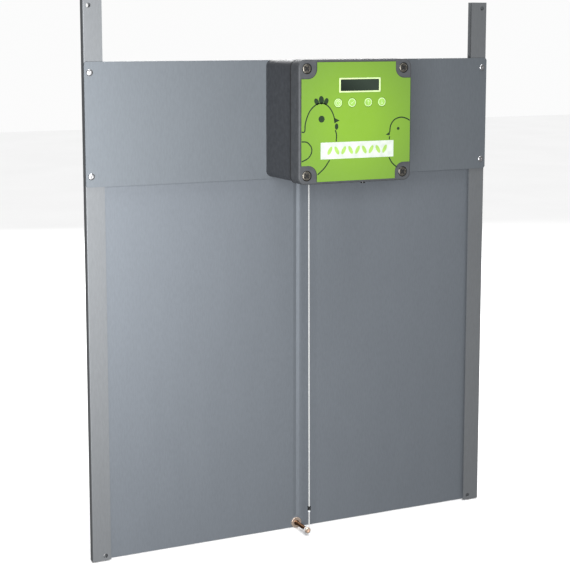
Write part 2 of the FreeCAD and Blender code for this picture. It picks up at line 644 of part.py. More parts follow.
def make_display():
    """The window lens and the display module that fills the space behind it."""
    subpart("display_window", display_opening("0", f"({LABEL_FACE} + window_thick)", "window_thick"))
    glass_back = f"({LABEL_FACE} + window_thick)"
    module_low = ("display_x - display_width / 2 - 4", f"{LID_INSIDE} + 0.1",
                  "display_z - display_height / 2 - 2")
    carrier = block(module_low, ("display_width + 8", f"{BOARD_FRONT} - {LID_INSIDE} - 0.1",
                                 "display_height + 4"))
    glass = block(("display_x - display_width / 2 + 0.4", glass_back,
                   "display_z - display_height / 2 + 0.4"),
                  ("display_width - 0.8", f"{LID_INSIDE} + 0.1 - {glass_back}",
                   "display_height - 0.8"))
    subpart("display_module", fuse(carrier, glass))


def make_keys():
    """Four round key caps, each held by a flange behind the lid."""
    for name, x in key_places().items():
        cap_back = f"({LID_INSIDE} - 0.3)"
        cap = rounded(rod("key_r", f"{cap_back} - {LABEL_FACE} + key_proud", (x, cap_back, "key_z")),
                      "0.3", lambda e: e.BoundBox.YMax < number_of(f"{LABEL_FACE} - 0.1"))
        flange = rod("key_flange_r", "key_flange", (x, f"{LID_INSIDE} + key_flange", "key_z"))
        neck = rod("key_r", "0.4", (x, f"{LID_INSIDE} + 0.1", "key_z"))
        stem = rod("key_stem_r", "1", (x, f"{LID_INSIDE} + key_flange + 0.5", "key_z"))
        subpart(name, fuse(cap, flange, neck, stem))


def make_light_sensor():
    lens = rounded(rod("sensor_r", "sensor_drop + lid_overhang + box_wall",
                       ("sensor_x", "sensor_y", f"{LID_FLOOR} - sensor_drop"), UPRIGHT), "0.8",
                   lambda e: e.BoundBox.ZMax < number_of(f"{LID_FLOOR} - sensor_drop + 0.01"))
    flange = rod("sensor_flange_r", "sensor_flange",
                 ("sensor_x", "sensor_y", f"{LID_FLOOR} + lid_overhang + box_wall"), UPRIGHT)
    subpart("light_sensor", fuse(lens, flange))


# Control board.

def board_screw_places():
    xs = ("(board_low_x + board_inset)", "(board_low_x + board_width - board_inset)")
    zs = ("(board_low_z + board_inset)", "(board_low_z + board_height - board_inset)")
    return [(x, z) for x in xs for z in zs]


def make_control_board():
    holes = [(x, z, "board_screw_r + 0.2") for x, z in board_screw_places()]
    subpart("control_board", sheet_body(
        "control_board", ("board_low_x", "board_low_z", "board_width", "board_height"),
        "board_y", "board_thick", holes))
    screws = []
    for x, z in board_screw_places():
        head = rod("board_screw_head_r", "1.4", (x, "board_y + 1.4", z))
        screws.append(fuse(head, rod("board_screw_r", "board_thick + 4", (x, "board_y", z))))
    subpart("board_screws", group(*screws))


def make_board_parts():
    """Key switches on the board's front, and its chips and sockets on the back."""
    switches = []
    for x in key_places().values():
        low = (f"{x} - switch_side / 2", f"{BOARD_FRONT} - switch_body", "key_z - switch_side / 2")
        button_y = f"({LID_INSIDE} + key_flange + 0.5 + key_travel + 0.15)"
        body = block(low, ("switch_side", "switch_body", "switch_side"))
        stub = rod("switch_button_r", f"{BOARD_FRONT} - {button_y}", (x, BOARD_FRONT, "key_z"))
        switches.append(fuse(body, stub))
    subpart("key_switches", group(*switches))
    layout = [(0, 12, 14, 14, 1.8), (22, 8, 8, 10, 1.6), (36, 26, 10, 6, 7), (50, 8, 12, 8, 6),
              (20, 30, 5, 5, 8), (4, 32, 9, 5, 4), (62, 22, 7, 7, 3)]
    chips = [block((f"board_low_x + 6 + {dx}", "board_y", f"board_low_z + {dz}"), (w, y, h))
             for dx, dz, w, h, y in layout]
    subpart("board_chips", group(*chips))


# Batteries.

def cell_rows():
    """Each cell's height, and whether it points left."""
    first = "holder_low_z + holder_wall - 0.2 + cell_pitch / 2"
    return [(f"({first} + {i} * cell_pitch)", i % 2 == 1) for i in range(4)]


CELL_Y = f"({PLATE_FACE} - box_wall - 0.1 - holder_floor - 0.2 - cell_r)"
CELL_LEFT = "(holder_low_x + (holder_length - cell_length - cell_nub) / 2)"


def make_batteries():
    back = f"({PLATE_FACE} - box_wall - 0.1)"
    tray = block(("holder_low_x", f"{back} - holder_depth", "holder_low_z"),
                 ("holder_length", "holder_depth", "holder_height"))
    bays = []
    for z, _ in cell_rows():
        low = ("holder_low_x + holder_wall", f"{back} - holder_depth - 1",
               f"{z} - (cell_pitch - rib) / 2")
        bays.append(block(low, ("holder_length - 2 * holder_wall",
                                "holder_depth + 1 - holder_floor", "cell_pitch - rib")))
    subpart("battery_holder", cut(tray, *bays))
    cells, contacts = [], []
    for z, points_left in cell_rows():
        body_x = f"({CELL_LEFT} + cell_nub)" if points_left else CELL_LEFT
        nub_x = CELL_LEFT if points_left else f"({CELL_LEFT} + cell_length)"
        body = rounded(rod("cell_r", "cell_length", (body_x, CELL_Y, z), TO_RIGHT), "0.6",
                       lambda e: isinstance(e.Curve, Part.Circle))
        cells.append(fuse(body, rod("cell_nub_r", "cell_nub", (nub_x, CELL_Y, z), TO_RIGHT)))
        contacts += cell_contacts(z, points_left)
    subpart("battery_cells", group(*cells))
    subpart("battery_contacts", group(*contacts))


def cell_contacts(z, points_left):
    """A flat tab at the nub and a coned spring at the cell's flat end."""
    left_wall = "(holder_low_x + holder_wall)"
    right_wall = "(holder_low_x + holder_length - holder_wall - contact_thick)"
    tab_x, spring_x = (left_wall, right_wall) if points_left else (right_wall, left_wall)
    size = ("contact_thick", "9", "9")
    tabs = [block((x, f"{CELL_Y} - 4.5", f"{z} - 4.5"), size) for x in (tab_x, spring_x)]
    step = -1 if points_left else 1
    face = spring_x if points_left else f"({spring_x} + contact_thick)"
    turns = [ring(f"{radius}", "spring_r", (f"{face} + {step} * {0.35 + 0.8 * i}", CELL_Y, z),
                  TO_RIGHT) for i, radius in enumerate((4.0, 3.5, 3.0))]
    return [tabs[0], fuse(tabs[1], *turns)]


# Winch.

def winch_screw_places():
    """The four spacers between the winch plates, clear of the drum gear."""
    left, right = "(winch_low_x + 4)", "(winch_low_x + winch_width - 4)"
    top, low = "(winch_low_z + winch_height - 4)", "(winch_low_z + 3.5)"
    middle = "(winch_low_x + winch_width * 0.475)"
    return [(left, top), (middle, top), (right, top), (right, low)]


def make_winch_plates():
    outline = ("winch_low_x", "winch_low_z", "winch_width", "winch_height")
    common = [(x, z, "winch_screw_r + 0.1") for x, z in winch_screw_places()]
    common += [("drum_x", "drum_z", "bush_r"), (IDLER_X, IDLER_Z, "idler_axle_r")]
    subpart("winch_rear_plate", sheet_body("winch_rear_plate", outline, "rear_plate_y",
                                           "winch_plate", common, corner_r="3"))
    motor_holes = [(MOTOR_X, MOTOR_Z, "motor_boss_r")]
    motor_holes += [(f"{MOTOR_X} + {side} * 8", MOTOR_Z, "1.1") for side in (-1, 1)]
    subpart("winch_front_plate", sheet_body("winch_front_plate", outline, "front_plate_y",
                                            "winch_plate", common + motor_holes, corner_r="3"))


def make_winch_fasteners():
    rear_face = "(rear_plate_y - winch_plate)"
    front_face = "(front_plate_y - winch_plate)"
    spacers, screws = [], []
    for x, z in winch_screw_places():
        tube = rod("spacer_r", f"{rear_face} - front_plate_y", (x, rear_face, z))
        spacers.append(cut(tube, rod("winch_screw_r + 0.1", "20", (x, f"{rear_face} + 5", z))))
        shank = rod("winch_screw_r", f"{PLATE_FACE} - 1.5 - {front_face}", (x, f"{PLATE_FACE} - 1.5", z))
        head = rounded(rod("winch_screw_head_r", "winch_screw_head", (x, front_face, z)), "0.5",
                       lambda e: e.BoundBox.YMax < number_of(f"{front_face} - 1"))
        slot = block((f"{x} - 3", f"{front_face} - winch_screw_head - 0.1", f"{z} - 0.3"),
                     ("6", "0.8", "0.6"))
        screws.append(cut(fuse(head, shank), slot))
    subpart("winch_spacers", group(*spacers))
    subpart("winch_screws", group(*screws))
    motor_screws = []
    for side in (-1, 1):
        at = (f"{MOTOR_X} + {side} * 8", "front_plate_y", MOTOR_Z)
        shank = rod("1", "winch_plate + 2.5", at)
        head = rod("1.7", "0.5", (at[0], "front_plate_y + 0.5", at[2]))
        motor_screws.append(fuse(shank, head))
    subpart("motor_screws", group(*motor_screws))


def make_bushes():
    """Flanged sleeve bearings in the two plates, and the idler's fixed axle."""
    bushes = []
    for y, outward in (("rear_plate_y", 1), ("front_plate_y", -1)):
        flange_y = f"({y} + bush_flange)" if outward > 0 else f"({y} - winch_plate)"
        sleeve = rod("bush_r", "winch_plate", ("drum_x", y, "drum_z"))
        flange = rod("bush_flange_r", "bush_flange", ("drum_x", flange_y, "drum_z"))
        hole = rod("drum_shaft_r + running_gap", "6", ("drum_x", f"{y} + 2", "drum_z"))
        bushes.append(cut(fuse(sleeve, flange), hole))
    subpart("drum_bushes", group(*bushes))
    subpart("idler_axle", rod("idler_axle_r", "rear_plate_y - front_plate_y + winch_plate",
                              (IDLER_X, "rear_plate_y", IDLER_Z), name="idler_axle"))


def involute(angle):
    return math.tan(angle) - angle


def gear_solid(teeth, turn, back_y, width):
    """A spur gear in the XZ plane round the Y axis, with one tooth at the angle turn."""
    module, play = number_of("tooth_module"), number_of("backlash")
    pressure = math.radians(25)
    pitch_r = module * teeth / 2
    base_r, tip_r, root_r = pitch_r * math.cos(pressure), pitch_r + 0.9 * module, pitch_r - 1.15 * module
    start_r = max(base_r, root_r) + 0.001
    tooth = math.pi * module / 2 - play / 2

    def half_angle(radius):
        return tooth / (2 * pitch_r) + involute(pressure) - involute(math.acos(base_r / radius))

    def spot(radius, angle):
        return V(radius * math.cos(angle), back_y, radius * math.sin(angle))

    edges = []
    step = 2 * math.pi / teeth
    middle_r = (start_r + tip_r) / 2
    for i in range(teeth):
        centre = turn + i * step
        up = [spot(r, centre - half_angle(r)) for r in (start_r, middle_r, tip_r)]
        down = [spot(r, centre + half_angle(r)) for r in (tip_r, middle_r, start_r)]
        foot = spot(root_r, centre - half_angle(start_r))
        end_foot = spot(root_r, centre + half_angle(start_r))
        next_foot = spot(root_r, centre + step - half_angle(start_r))
        edges.append(Part.LineSegment(foot, up[0]))
        edges.append(Part.Arc(*up))
        edges.append(Part.Arc(up[2], spot(tip_r, centre), down[0]))
        edges.append(Part.Arc(*down))
        edges.append(Part.LineSegment(down[2], end_foot))
        edges.append(Part.Arc(end_foot, spot(root_r, centre + step / 2), next_foot))
    outline = Part.Wire([edge.toShape() for edge in edges])
    return Part.Face(outline).extrude(V(0, -width, 0))


def disc(radius, back_y, length):
    """A plain round solid along the Y axis, in a gear's own frame."""
    return Part.makeCylinder(radius, length, V(0, back_y, 0), V(0, -1, 0))


def make_gears():
    """The drum gear, the two-step idler and the motor pinion, all in mesh."""
    a_y, a_width = number_of("gear_a_y"), number_of("gear_a_width")
    b_y, b_width = number_of("gear_b_y"), number_of("gear_b_width")
    drum = point("drum_x", "0", "drum_z")
    idler, motor = point(IDLER_X, "0", IDLER_Z), point(MOTOR_X, "0", MOTOR_Z)
    drum_teeth, idler_teeth = SIZES["drum_teeth"], SIZES["idler_teeth"]
    small = SIZES["pinion_teeth"]
    to_idler = math.atan2((idler - drum).z, (idler - drum).x)
    to_motor = math.atan2((motor - idler).z, (motor - idler).x)
    shaft_r = number_of("drum_shaft_r")

    big = gear_solid(drum_teeth, to_idler, a_y, a_width)
    front_hub = disc(number_of("drum_hub_r"), a_y - a_width, 1.2)
    big = big.fuse(front_hub).cut(disc(shaft_r, a_y + 1, a_width + 4))
    for i in range(5):
        angle = math.radians(72 * i)
        hole = disc(4, a_y + 1, a_width + 2)
        hole.translate(V(11.5 * math.cos(angle), 0, 11.5 * math.sin(angle)))
        big = big.cut(hole)
    put_gear("drum_gear", big, drum)

    facing_drum = to_idler + math.pi + math.pi / small
    lower = gear_solid(small, facing_drum, a_y, a_y - b_y)
    upper = gear_solid(idler_teeth, to_motor, b_y, b_width)
    bore = disc(number_of("idler_axle_r + running_gap"), a_y + 1, a_width + b_width + 4)
    put_gear("idler_gear", lower.fuse(upper).cut(bore), idler)

    facing_idler = to_motor + math.pi + math.pi / small
    pinion = gear_solid(small, facing_idler, b_y + 0.2, b_width + 0.2)
    pinion = pinion.cut(disc(number_of("motor_shaft_r"), b_y + 2, b_width + 4))
    put_gear("motor_pinion", pinion, motor)


def put_gear(name, shape, centre):
    gear = shaped(name, shape.removeSplitter())
    gear.Placement = FreeCAD.Placement(centre, FreeCAD.Rotation())


def make_drum():
    """The flanged cord drum on its shaft, the first turns of cord and the retaining clip."""
    at = ("drum_x", "drum_low_y", "drum_z")
    front = "(drum_low_y - drum_length)"
    core = rod("drum_core_r", "drum_length", at)
    back_flange = rod("drum_flange_r", "drum_flange", at)
    front_flange = rod("drum_flange_r", "drum_flange", ("drum_x", f"{front} + drum_flange", "drum_z"))
    bore = rod("drum_shaft_r", "drum_length + 2", ("drum_x", "drum_low_y + 1", "drum_z"))
    pocket = cut(rod("drum_core_r - 2", "drum_length", ("drum_x", "drum_low_y - 3", "drum_z")),
                 rod("drum_hub_r", "drum_length + 4", ("drum_x", "drum_low_y", "drum_z")))
    subpart("cord_drum", cut(fuse(core, back_flange, front_flange), bore, pocket))
    coil_y = "(drum_low_y - drum_flange - 0.2)"
    coil = rod("drum_core_r + 2 * cord_r", "coil_width", ("drum_x", coil_y, "drum_z"))
    hollow = rod("drum_core_r", "coil_width + 2", ("drum_x", f"{coil_y} + 1", "drum_z"))
    subpart("cord_coil", cut(coil, hollow))
    shaft_back = "(rear_plate_y + 0.3)"
    subpart("drum_shaft", rod("drum_shaft_r", f"{shaft_back} - {front} + 1.8",
                              ("drum_x", shaft_back, "drum_z"), name="drum_shaft"))
    clip = cut(rod("drum_shaft_r + 1.8", "0.6", ("drum_x", f"{front} - 0.1", "drum_z")),
               rod("drum_shaft_r", "3", ("drum_x", f"{front} + 1", "drum_z")),
               block(("drum_x - 1", f"{front} - 2", "drum_z - 5"), ("2", "3", "5")))
    subpart("drum_clip", clip)


def make_motor():
    """The motor's can, its rear cap with two terminals, and its shaft."""
    face = "(front_plate_y - winch_plate)"
    can = rounded(rod("motor_r", "motor_length", (MOTOR_X, face, MOTOR_Z)), "1",
                  lambda e: isinstance(e.Curve, Part.Circle))
    boss = rod("motor_boss_r", "winch_plate", (MOTOR_X, "front_plate_y", MOTOR_Z))
    sides = [block((f"{MOTOR_X} - motor_r", f"{face} - motor_length", f"{MOTOR_Z} + {low}"),
                   ("2 * motor_r", "motor_length", "4")) for low in ("motor_r - 2.2", "(-motor_r) - 1.8")]
    bore = rod("motor_shaft_r + running_gap", "motor_length + 3", (MOTOR_X, "front_plate_y + 1", MOTOR_Z))
    tapped = [rod("1", "4", (f"{MOTOR_X} + {side} * 8", f"{face} + 1", MOTOR_Z)) for side in (-1, 1)]
    subpart("motor_can", cut(fuse(can, boss), *sides, bore, *tapped))
    cap_y = f"({face} - motor_length)"
    cap = rod("motor_r - 2.4", "motor_cap", (MOTOR_X, cap_y, MOTOR_Z))
    tabs = [block((f"{MOTOR_X} + {side} * 6 - 1", f"{cap_y} - motor_cap - 3", f"{MOTOR_Z} - 0.25"),
                  ("2", "3", "0.5")) for side in (-1, 1)]
    hole = rod("motor_shaft_r + running_gap", "2", (MOTOR_X, f"{cap_y} + 1", MOTOR_Z))
    subpart("motor_end_cap", cut(fuse(cap, *tabs), hole))
    subpart("motor_shaft", rod("motor_shaft_r", f"gear_b_y - {cap_y} + 1",
                               (MOTOR_X, "gear_b_y + 0.5", MOTOR_Z), name="motor_shaft"))


def make_outlet_bush():
    """The sleeve in the enclosure's floor that the cord runs through."""
    low = f"({BOX_FLOOR} - outlet_flange)"
    flange = rounded(rod("outlet_flange_r", "outlet_flange", ("cord_top_x", "cord_y", low), UPRIGHT),
                     "0.6", lambda e: e.BoundBox.ZMax < number_of(f"{low} + 0.01"))
    sleeve = rod("outlet_body_r", "box_wall + 2", ("cord_top_x", "cord_y", BOX_FLOOR), UPRIGHT)
    nut = rod("outlet_flange_r - 0.4", "1.6", ("cord_top_x", "cord_y", f"{BOX_FLOOR} + box_wall"),
              UPRIGHT)
    hole = rod("outlet_r", "12", ("cord_top_x", "cord_y", f"{low} - 2"), UPRIGHT)
    subpart("cord_outlet_bush", cut(fuse(flange, sleeve, nut), hole))


def build():
    make_rail("left_rail", -1)
    make_rail("right_rail", 1)
    make_cover_plate()
    make_cover_rivets()
    make_slider()
    make_lift_bolt()
    make_bolt_washer()
    make_cord_loop()
    make_crimp_and_bead()
    make_cord()
    make_enclosure_base()
    make_base_screws()
    make_gasket()
    make_enclosure_lid()
    make_lid_screws()
    make_label()
    make_display()
    make_keys()
    make_light_sensor()
    make_control_board()
    make_board_parts()
    make_batteries()
    make_winch_plates()
    make_winch_fasteners()
    make_bushes()
    make_gears()
    make_drum()
    make_motor()
    make_outlet_bush()


def check_and_write():
    """Stop on any failed object or bad shape, then write each sub-part's STEP file."""
    doc.recompute()
    for obj in doc.Objects:
        bad = {"Invalid", "Error"} & set(obj.State)
        assert not bad, f"{obj.Label} failed: {obj.State} {obj.ExpressionEngine}"
    os.makedirs("parts", exist_ok=True)
    for obj in subparts:
        shape = obj.Shape
        assert not shape.isNull() and shape.isValid(), f"{obj.Label} has a bad shape"
        assert shape.Solids, f"{obj.Label} holds no solid"
        shape.exportStep(f"parts/{obj.Label}.step")
        print(f"{obj.Label}: {len(shape.Solids)} solids, {shape.Volume:.1f} mm3")
    print(len(subparts), "sub-parts")


build()
check_and_write()
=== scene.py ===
import json
import math

import bmesh
import bpy
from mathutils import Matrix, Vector


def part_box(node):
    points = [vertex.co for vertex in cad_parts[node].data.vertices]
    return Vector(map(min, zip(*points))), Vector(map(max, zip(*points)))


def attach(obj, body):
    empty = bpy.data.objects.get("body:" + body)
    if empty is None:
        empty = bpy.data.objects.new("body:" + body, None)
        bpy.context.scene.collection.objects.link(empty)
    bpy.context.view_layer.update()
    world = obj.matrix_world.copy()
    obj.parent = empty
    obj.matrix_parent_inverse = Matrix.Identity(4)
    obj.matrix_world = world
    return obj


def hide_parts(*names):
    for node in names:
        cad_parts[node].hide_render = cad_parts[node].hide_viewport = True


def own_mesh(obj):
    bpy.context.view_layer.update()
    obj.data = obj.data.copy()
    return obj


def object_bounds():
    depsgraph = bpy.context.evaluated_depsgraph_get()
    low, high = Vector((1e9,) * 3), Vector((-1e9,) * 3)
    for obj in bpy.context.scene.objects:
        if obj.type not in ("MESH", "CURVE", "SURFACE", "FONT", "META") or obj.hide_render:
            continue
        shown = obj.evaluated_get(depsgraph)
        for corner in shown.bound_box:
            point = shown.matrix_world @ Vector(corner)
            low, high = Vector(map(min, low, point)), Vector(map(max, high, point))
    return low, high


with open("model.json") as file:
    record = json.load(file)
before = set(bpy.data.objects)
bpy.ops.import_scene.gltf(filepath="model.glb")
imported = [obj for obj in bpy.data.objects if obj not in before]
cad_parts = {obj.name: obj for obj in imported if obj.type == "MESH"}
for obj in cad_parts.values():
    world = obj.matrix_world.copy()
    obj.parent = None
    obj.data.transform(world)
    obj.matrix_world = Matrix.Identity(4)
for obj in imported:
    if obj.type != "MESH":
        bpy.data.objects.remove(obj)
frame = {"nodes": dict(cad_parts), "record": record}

# The looks of an automatic coop door: sheet metal rails and slider, a lifting cord, and a
# plastic winch housing with a printed front. Lengths are metres unless a name ends in _mm.

CAD_LOW, CAD_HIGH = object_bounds()
MM = 0.001
TURN = 2 * math.pi

# The cord's route, as the CAD part has it.
CORD_TOP = Vector((0.0015, -0.028, 0.36905))
CORD_END = Vector((0.00275, -0.028, 0.0252))
CORD_R = 0.0007
BOLT_CENTRE = Vector((0, -0.028, 0.0002))
LOOP_R = 0.00275

FRONT = (0, -1, 0)
UP = (0, 0, 1)
BACK = (0, 1, 0)


def srgb(red, green, blue):
    """A colour given as screen values from 0 to 255, as linear light."""
    def linear(value):
        share = value / 255
        return share / 12.92 if share <= 0.04045 else ((share + 0.055) / 1.055) ** 2.4
    return (linear(red), linear(green), linear(blue), 1.0)


# Materials.

class Surface:
    """A Principled material whose colour, gloss and relief come from noise in object space."""

    def __init__(self, name, roughness, metallic=0.0, **sockets):
        self.material = bpy.data.materials.new(name)
        self.material.use_nodes = True
        self.tree = self.material.node_tree
        self.shader = self.tree.nodes["Principled BSDF"]
        self.shader.inputs["Roughness"].default_value = roughness
        self.shader.inputs["Metallic"].default_value = metallic
        for socket, value in sockets.items():
            self.shader.inputs[socket.replace("_", " ")].default_value = value
        self.place = self.tree.nodes.new("ShaderNodeTexCoord").outputs["Object"]

    def node(self, kind, **values):
        made = self.tree.nodes.new(kind)
        for name, value in values.items():
            socket = name.replace("_", " ")
            if socket in made.inputs:
                made.inputs[socket].default_value = value
            else:
                setattr(made, name, value)
        return made

    def link(self, output, socket):
        self.tree.links.new(output, socket)

    def noise(self, size, stretch=(1, 1, 1), detail=3.0):
        """Noise whose features are about size metres across, drawn out by stretch."""
        mapping = self.node("ShaderNodeMapping", Scale=tuple(1 / (size * s) for s in stretch))
        self.link(self.place, mapping.inputs["Vector"])
        made = self.node("ShaderNodeTexNoise", Scale=1.0, Detail=detail)
        self.link(mapping.outputs["Vector"], made.inputs["Vector"])
        return made.outputs["Fac"]

    def ramp(self, output, stops):
        made = self.node("ShaderNodeValToRGB")
        points = made.color_ramp.elements
        for i, (at, colour) in enumerate(stops):
            point = points[i] if i < 2 else points.new(at)
            point.position = at
            point.color = colour
        self.link(output, made.inputs["Fac"])
        return made.outputs["Color"]

    def colour(self, base, spread, size, stretch=(1, 1, 1)):
        """The base colour, a little darker and lighter in patches."""
        dark = tuple(c * (1 - spread) for c in base[:3]) + (1,)
        light = tuple(min(1, c * (1 + spread)) for c in base[:3]) + (1,)
        self.link(self.ramp(self.noise(size, stretch), [(0.35, dark), (0.65, light)]),
                  self.shader.inputs["Base Color"])
        return self

    def gloss(self, low, high, size, stretch=(1, 1, 1)):
        span = self.node("ShaderNodeMapRange", From_Min=0.3, From_Max=0.7, To_Min=low, To_Max=high)
        self.link(self.noise(size, stretch), span.inputs["Value"])
        self.link(span.outputs["Result"], self.shader.inputs["Roughness"])
        return self

    def relief(self, output, depth, strength=1.0):
        """Bump of a real depth in metres. A second call adds to the first."""
        bump = self.node("ShaderNodeBump", Strength=strength, Distance=depth)
        self.link(output, bump.inputs["Height"])
        normal = self.shader.inputs["Normal"]
        if normal.is_linked:
            self.link(normal.links[0].from_socket, bump.inputs["Normal"])
        self.link(bump.outputs["Normal"], normal)
        return self


def sheet_metal(name, base):
    """Satin coated sheet: fine streaks and grain drawn out along its length, even gloss."""
    rolled = (1, 1, 14)
    surface = Surface(name, 0.5, 0.55)
    surface.colour(base, 0.035, 0.0011, (1, 1, 5))
    surface.gloss(0.49, 0.52, 0.02, (1, 1, 3))
    surface.relief(surface.noise(0.0004, rolled), 0.000004)
    return surface.material


def cast_metal(name, base, roughness, spread=0.12, grain=0.0003):
    """Turned, drawn or plated metal, with fine marks and slight tarnish."""
    surface = Surface(name, roughness, 1.0)
    surface.colour(base, spread, 0.0015)
    surface.gloss(roughness * 0.8, roughness * 1.25, 0.002)
    surface.relief(surface.noise(grain), 0.000015)
    return surface.material


def moulded(name, base, roughness, grain=0.00035, depth=0.00002, spread=0.08, **sockets):
    """Moulded plastic: spark-eroded grain, and slightly uneven gloss."""
    surface = Surface(name, roughness, **sockets)
    surface.colour(base, spread, 0.006)
    surface.gloss(roughness * 0.88, roughness * 1.12, 0.004)
    surface.relief(surface.noise(grain), depth)
    return surface.material


def braided(name, base):
    """Woven polyester cord: dull, slightly uneven white over the relief of crossing yarns."""
    surface = Surface(name, 0.8, Sheen_Weight=0.3)
    surface.colour(base, 0.12, 0.0008)
    yarns = []
    for slope in (1, -1):
        turn = surface.node("ShaderNodeMapping", Rotation=(0, slope * math.radians(35), 0))
        surface.link(surface.place, turn.inputs["Vector"])
        wave = surface.node("ShaderNodeTexWave", Scale=420.0, Distortion=0.4)
        wave.bands_direction = "Z"
        surface.link(turn.outputs["Vector"], wave.inputs["Vector"])
        yarns.append(wave.outputs["Fac"])
    crossing = surface.node("ShaderNodeMath", operation="MAXIMUM")
    surface.link(yarns[0], crossing.inputs[0])
    surface.link(yarns[1], crossing.inputs[1])
    surface.relief(crossing.outputs["Value"], 0.00008)
    return surface.material


def printed_film(name, centre, edge):
    """The label's film: brighter in the middle than at its edges, with a fine satin tooth."""
    low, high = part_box("front_label")
    middle = (low + high) / 2
    surface = Surface(name, 0.42, Coat_Weight=0.15, Coat_Roughness=0.25)
    reach = (high.x - low.x) * 0.62
    shift = surface.node("ShaderNodeMapping", Scale=(1 / reach, 0, 1 / reach),
                         Location=(-middle.x / reach, 0, -middle.z / reach))
    surface.link(surface.place, shift.inputs["Vector"])
    distance = surface.node("ShaderNodeVectorMath", operation="LENGTH")
    surface.link(shift.outputs["Vector"], distance.inputs[0])
    surface.link(surface.ramp(distance.outputs["Value"], [(0.25, centre), (1.0, edge)]),
                 surface.shader.inputs["Base Color"])
    surface.gloss(0.36, 0.46, 0.003)
    surface.relief(surface.noise(0.00025), 0.000008)
    return surface.material


def circuit_board(name, base, copper):
    """Solder mask over fine copper tracks."""
    surface = Surface(name, 0.35)
    brick = surface.node("ShaderNodeTexBrick", Scale=160.0, Mortar_Size=0.05, Color1=base,
                         Color2=tuple(c * 0.8 for c in base[:3]) + (1,), Mortar=copper)
    turn = surface.node("ShaderNodeMapping", Rotation=(math.pi / 2, 0, 0))
    surface.link(surface.place, turn.inputs["Vector"])
    surface.link(turn.outputs["Vector"], brick.inputs["Vector"])
    surface.link(brick.outputs["Color"], surface.shader.inputs["Base Color"])
    surface.relief(brick.outputs["Fac"], 0.00003)
    return surface.material


def cell_jacket(name, jacket, band):
    """A shrink sleeve with a plain contrasting band near one end."""
    surface = Surface(name, 0.3, 0.35)
    split = surface.node("ShaderNodeSeparateXYZ")
    surface.link(surface.place, split.inputs["Vector"])
    low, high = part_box("battery_cells")
    along = surface.node("ShaderNodeMapRange", From_Min=low.x, From_Max=high.x)
    surface.link(split.outputs["X"], along.inputs["Value"])
    surface.link(surface.ramp(along.outputs["Result"], [(0.70, jacket), (0.715, band)]),
                 surface.shader.inputs["Base Color"])
    surface.relief(surface.noise(0.002), 0.00002)
    return surface.material


def display_glass(name, dark, light):
    """A switched-off liquid crystal display behind its window, with a soft diagonal sheen painted
    into its colour.
    """
    low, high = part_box("display_window")
    surface = Surface(name, 0.22, Coat_Weight=0.5, Coat_Roughness=0.08)
    span = high - low
    fit = surface.node("ShaderNodeMapping", Scale=(1 / span.x, 0, 1 / span.z),
                       Location=(-low.x / span.x, 0, -low.z / span.z))
    surface.link(surface.place, fit.inputs["Vector"])
    split = surface.node("ShaderNodeSeparateXYZ")
    surface.link(fit.outputs["Vector"], split.inputs["Vector"])
    total = surface.node("ShaderNodeMath", operation="MULTIPLY_ADD")
    surface.link(split.outputs["Z"], total.inputs[0])
    total.inputs[1].default_value = 0.5
    surface.link(split.outputs["X"], total.inputs[2])
    # Painted sheen: the colour runs from dark at the lower left to light at the upper right.
    surface.link(surface.ramp(total.outputs["Value"], [(0.2, dark), (1.2, light)]),
                 surface.shader.inputs["Base Color"])
    surface.relief(surface.noise(0.0006), 0.000004)
    return surface.material


GREY_SHEET = srgb(115, 121, 127)
STEEL = srgb(190, 190, 192)
BLACK = srgb(26, 26, 27)
BRASS = srgb(198, 158, 96)

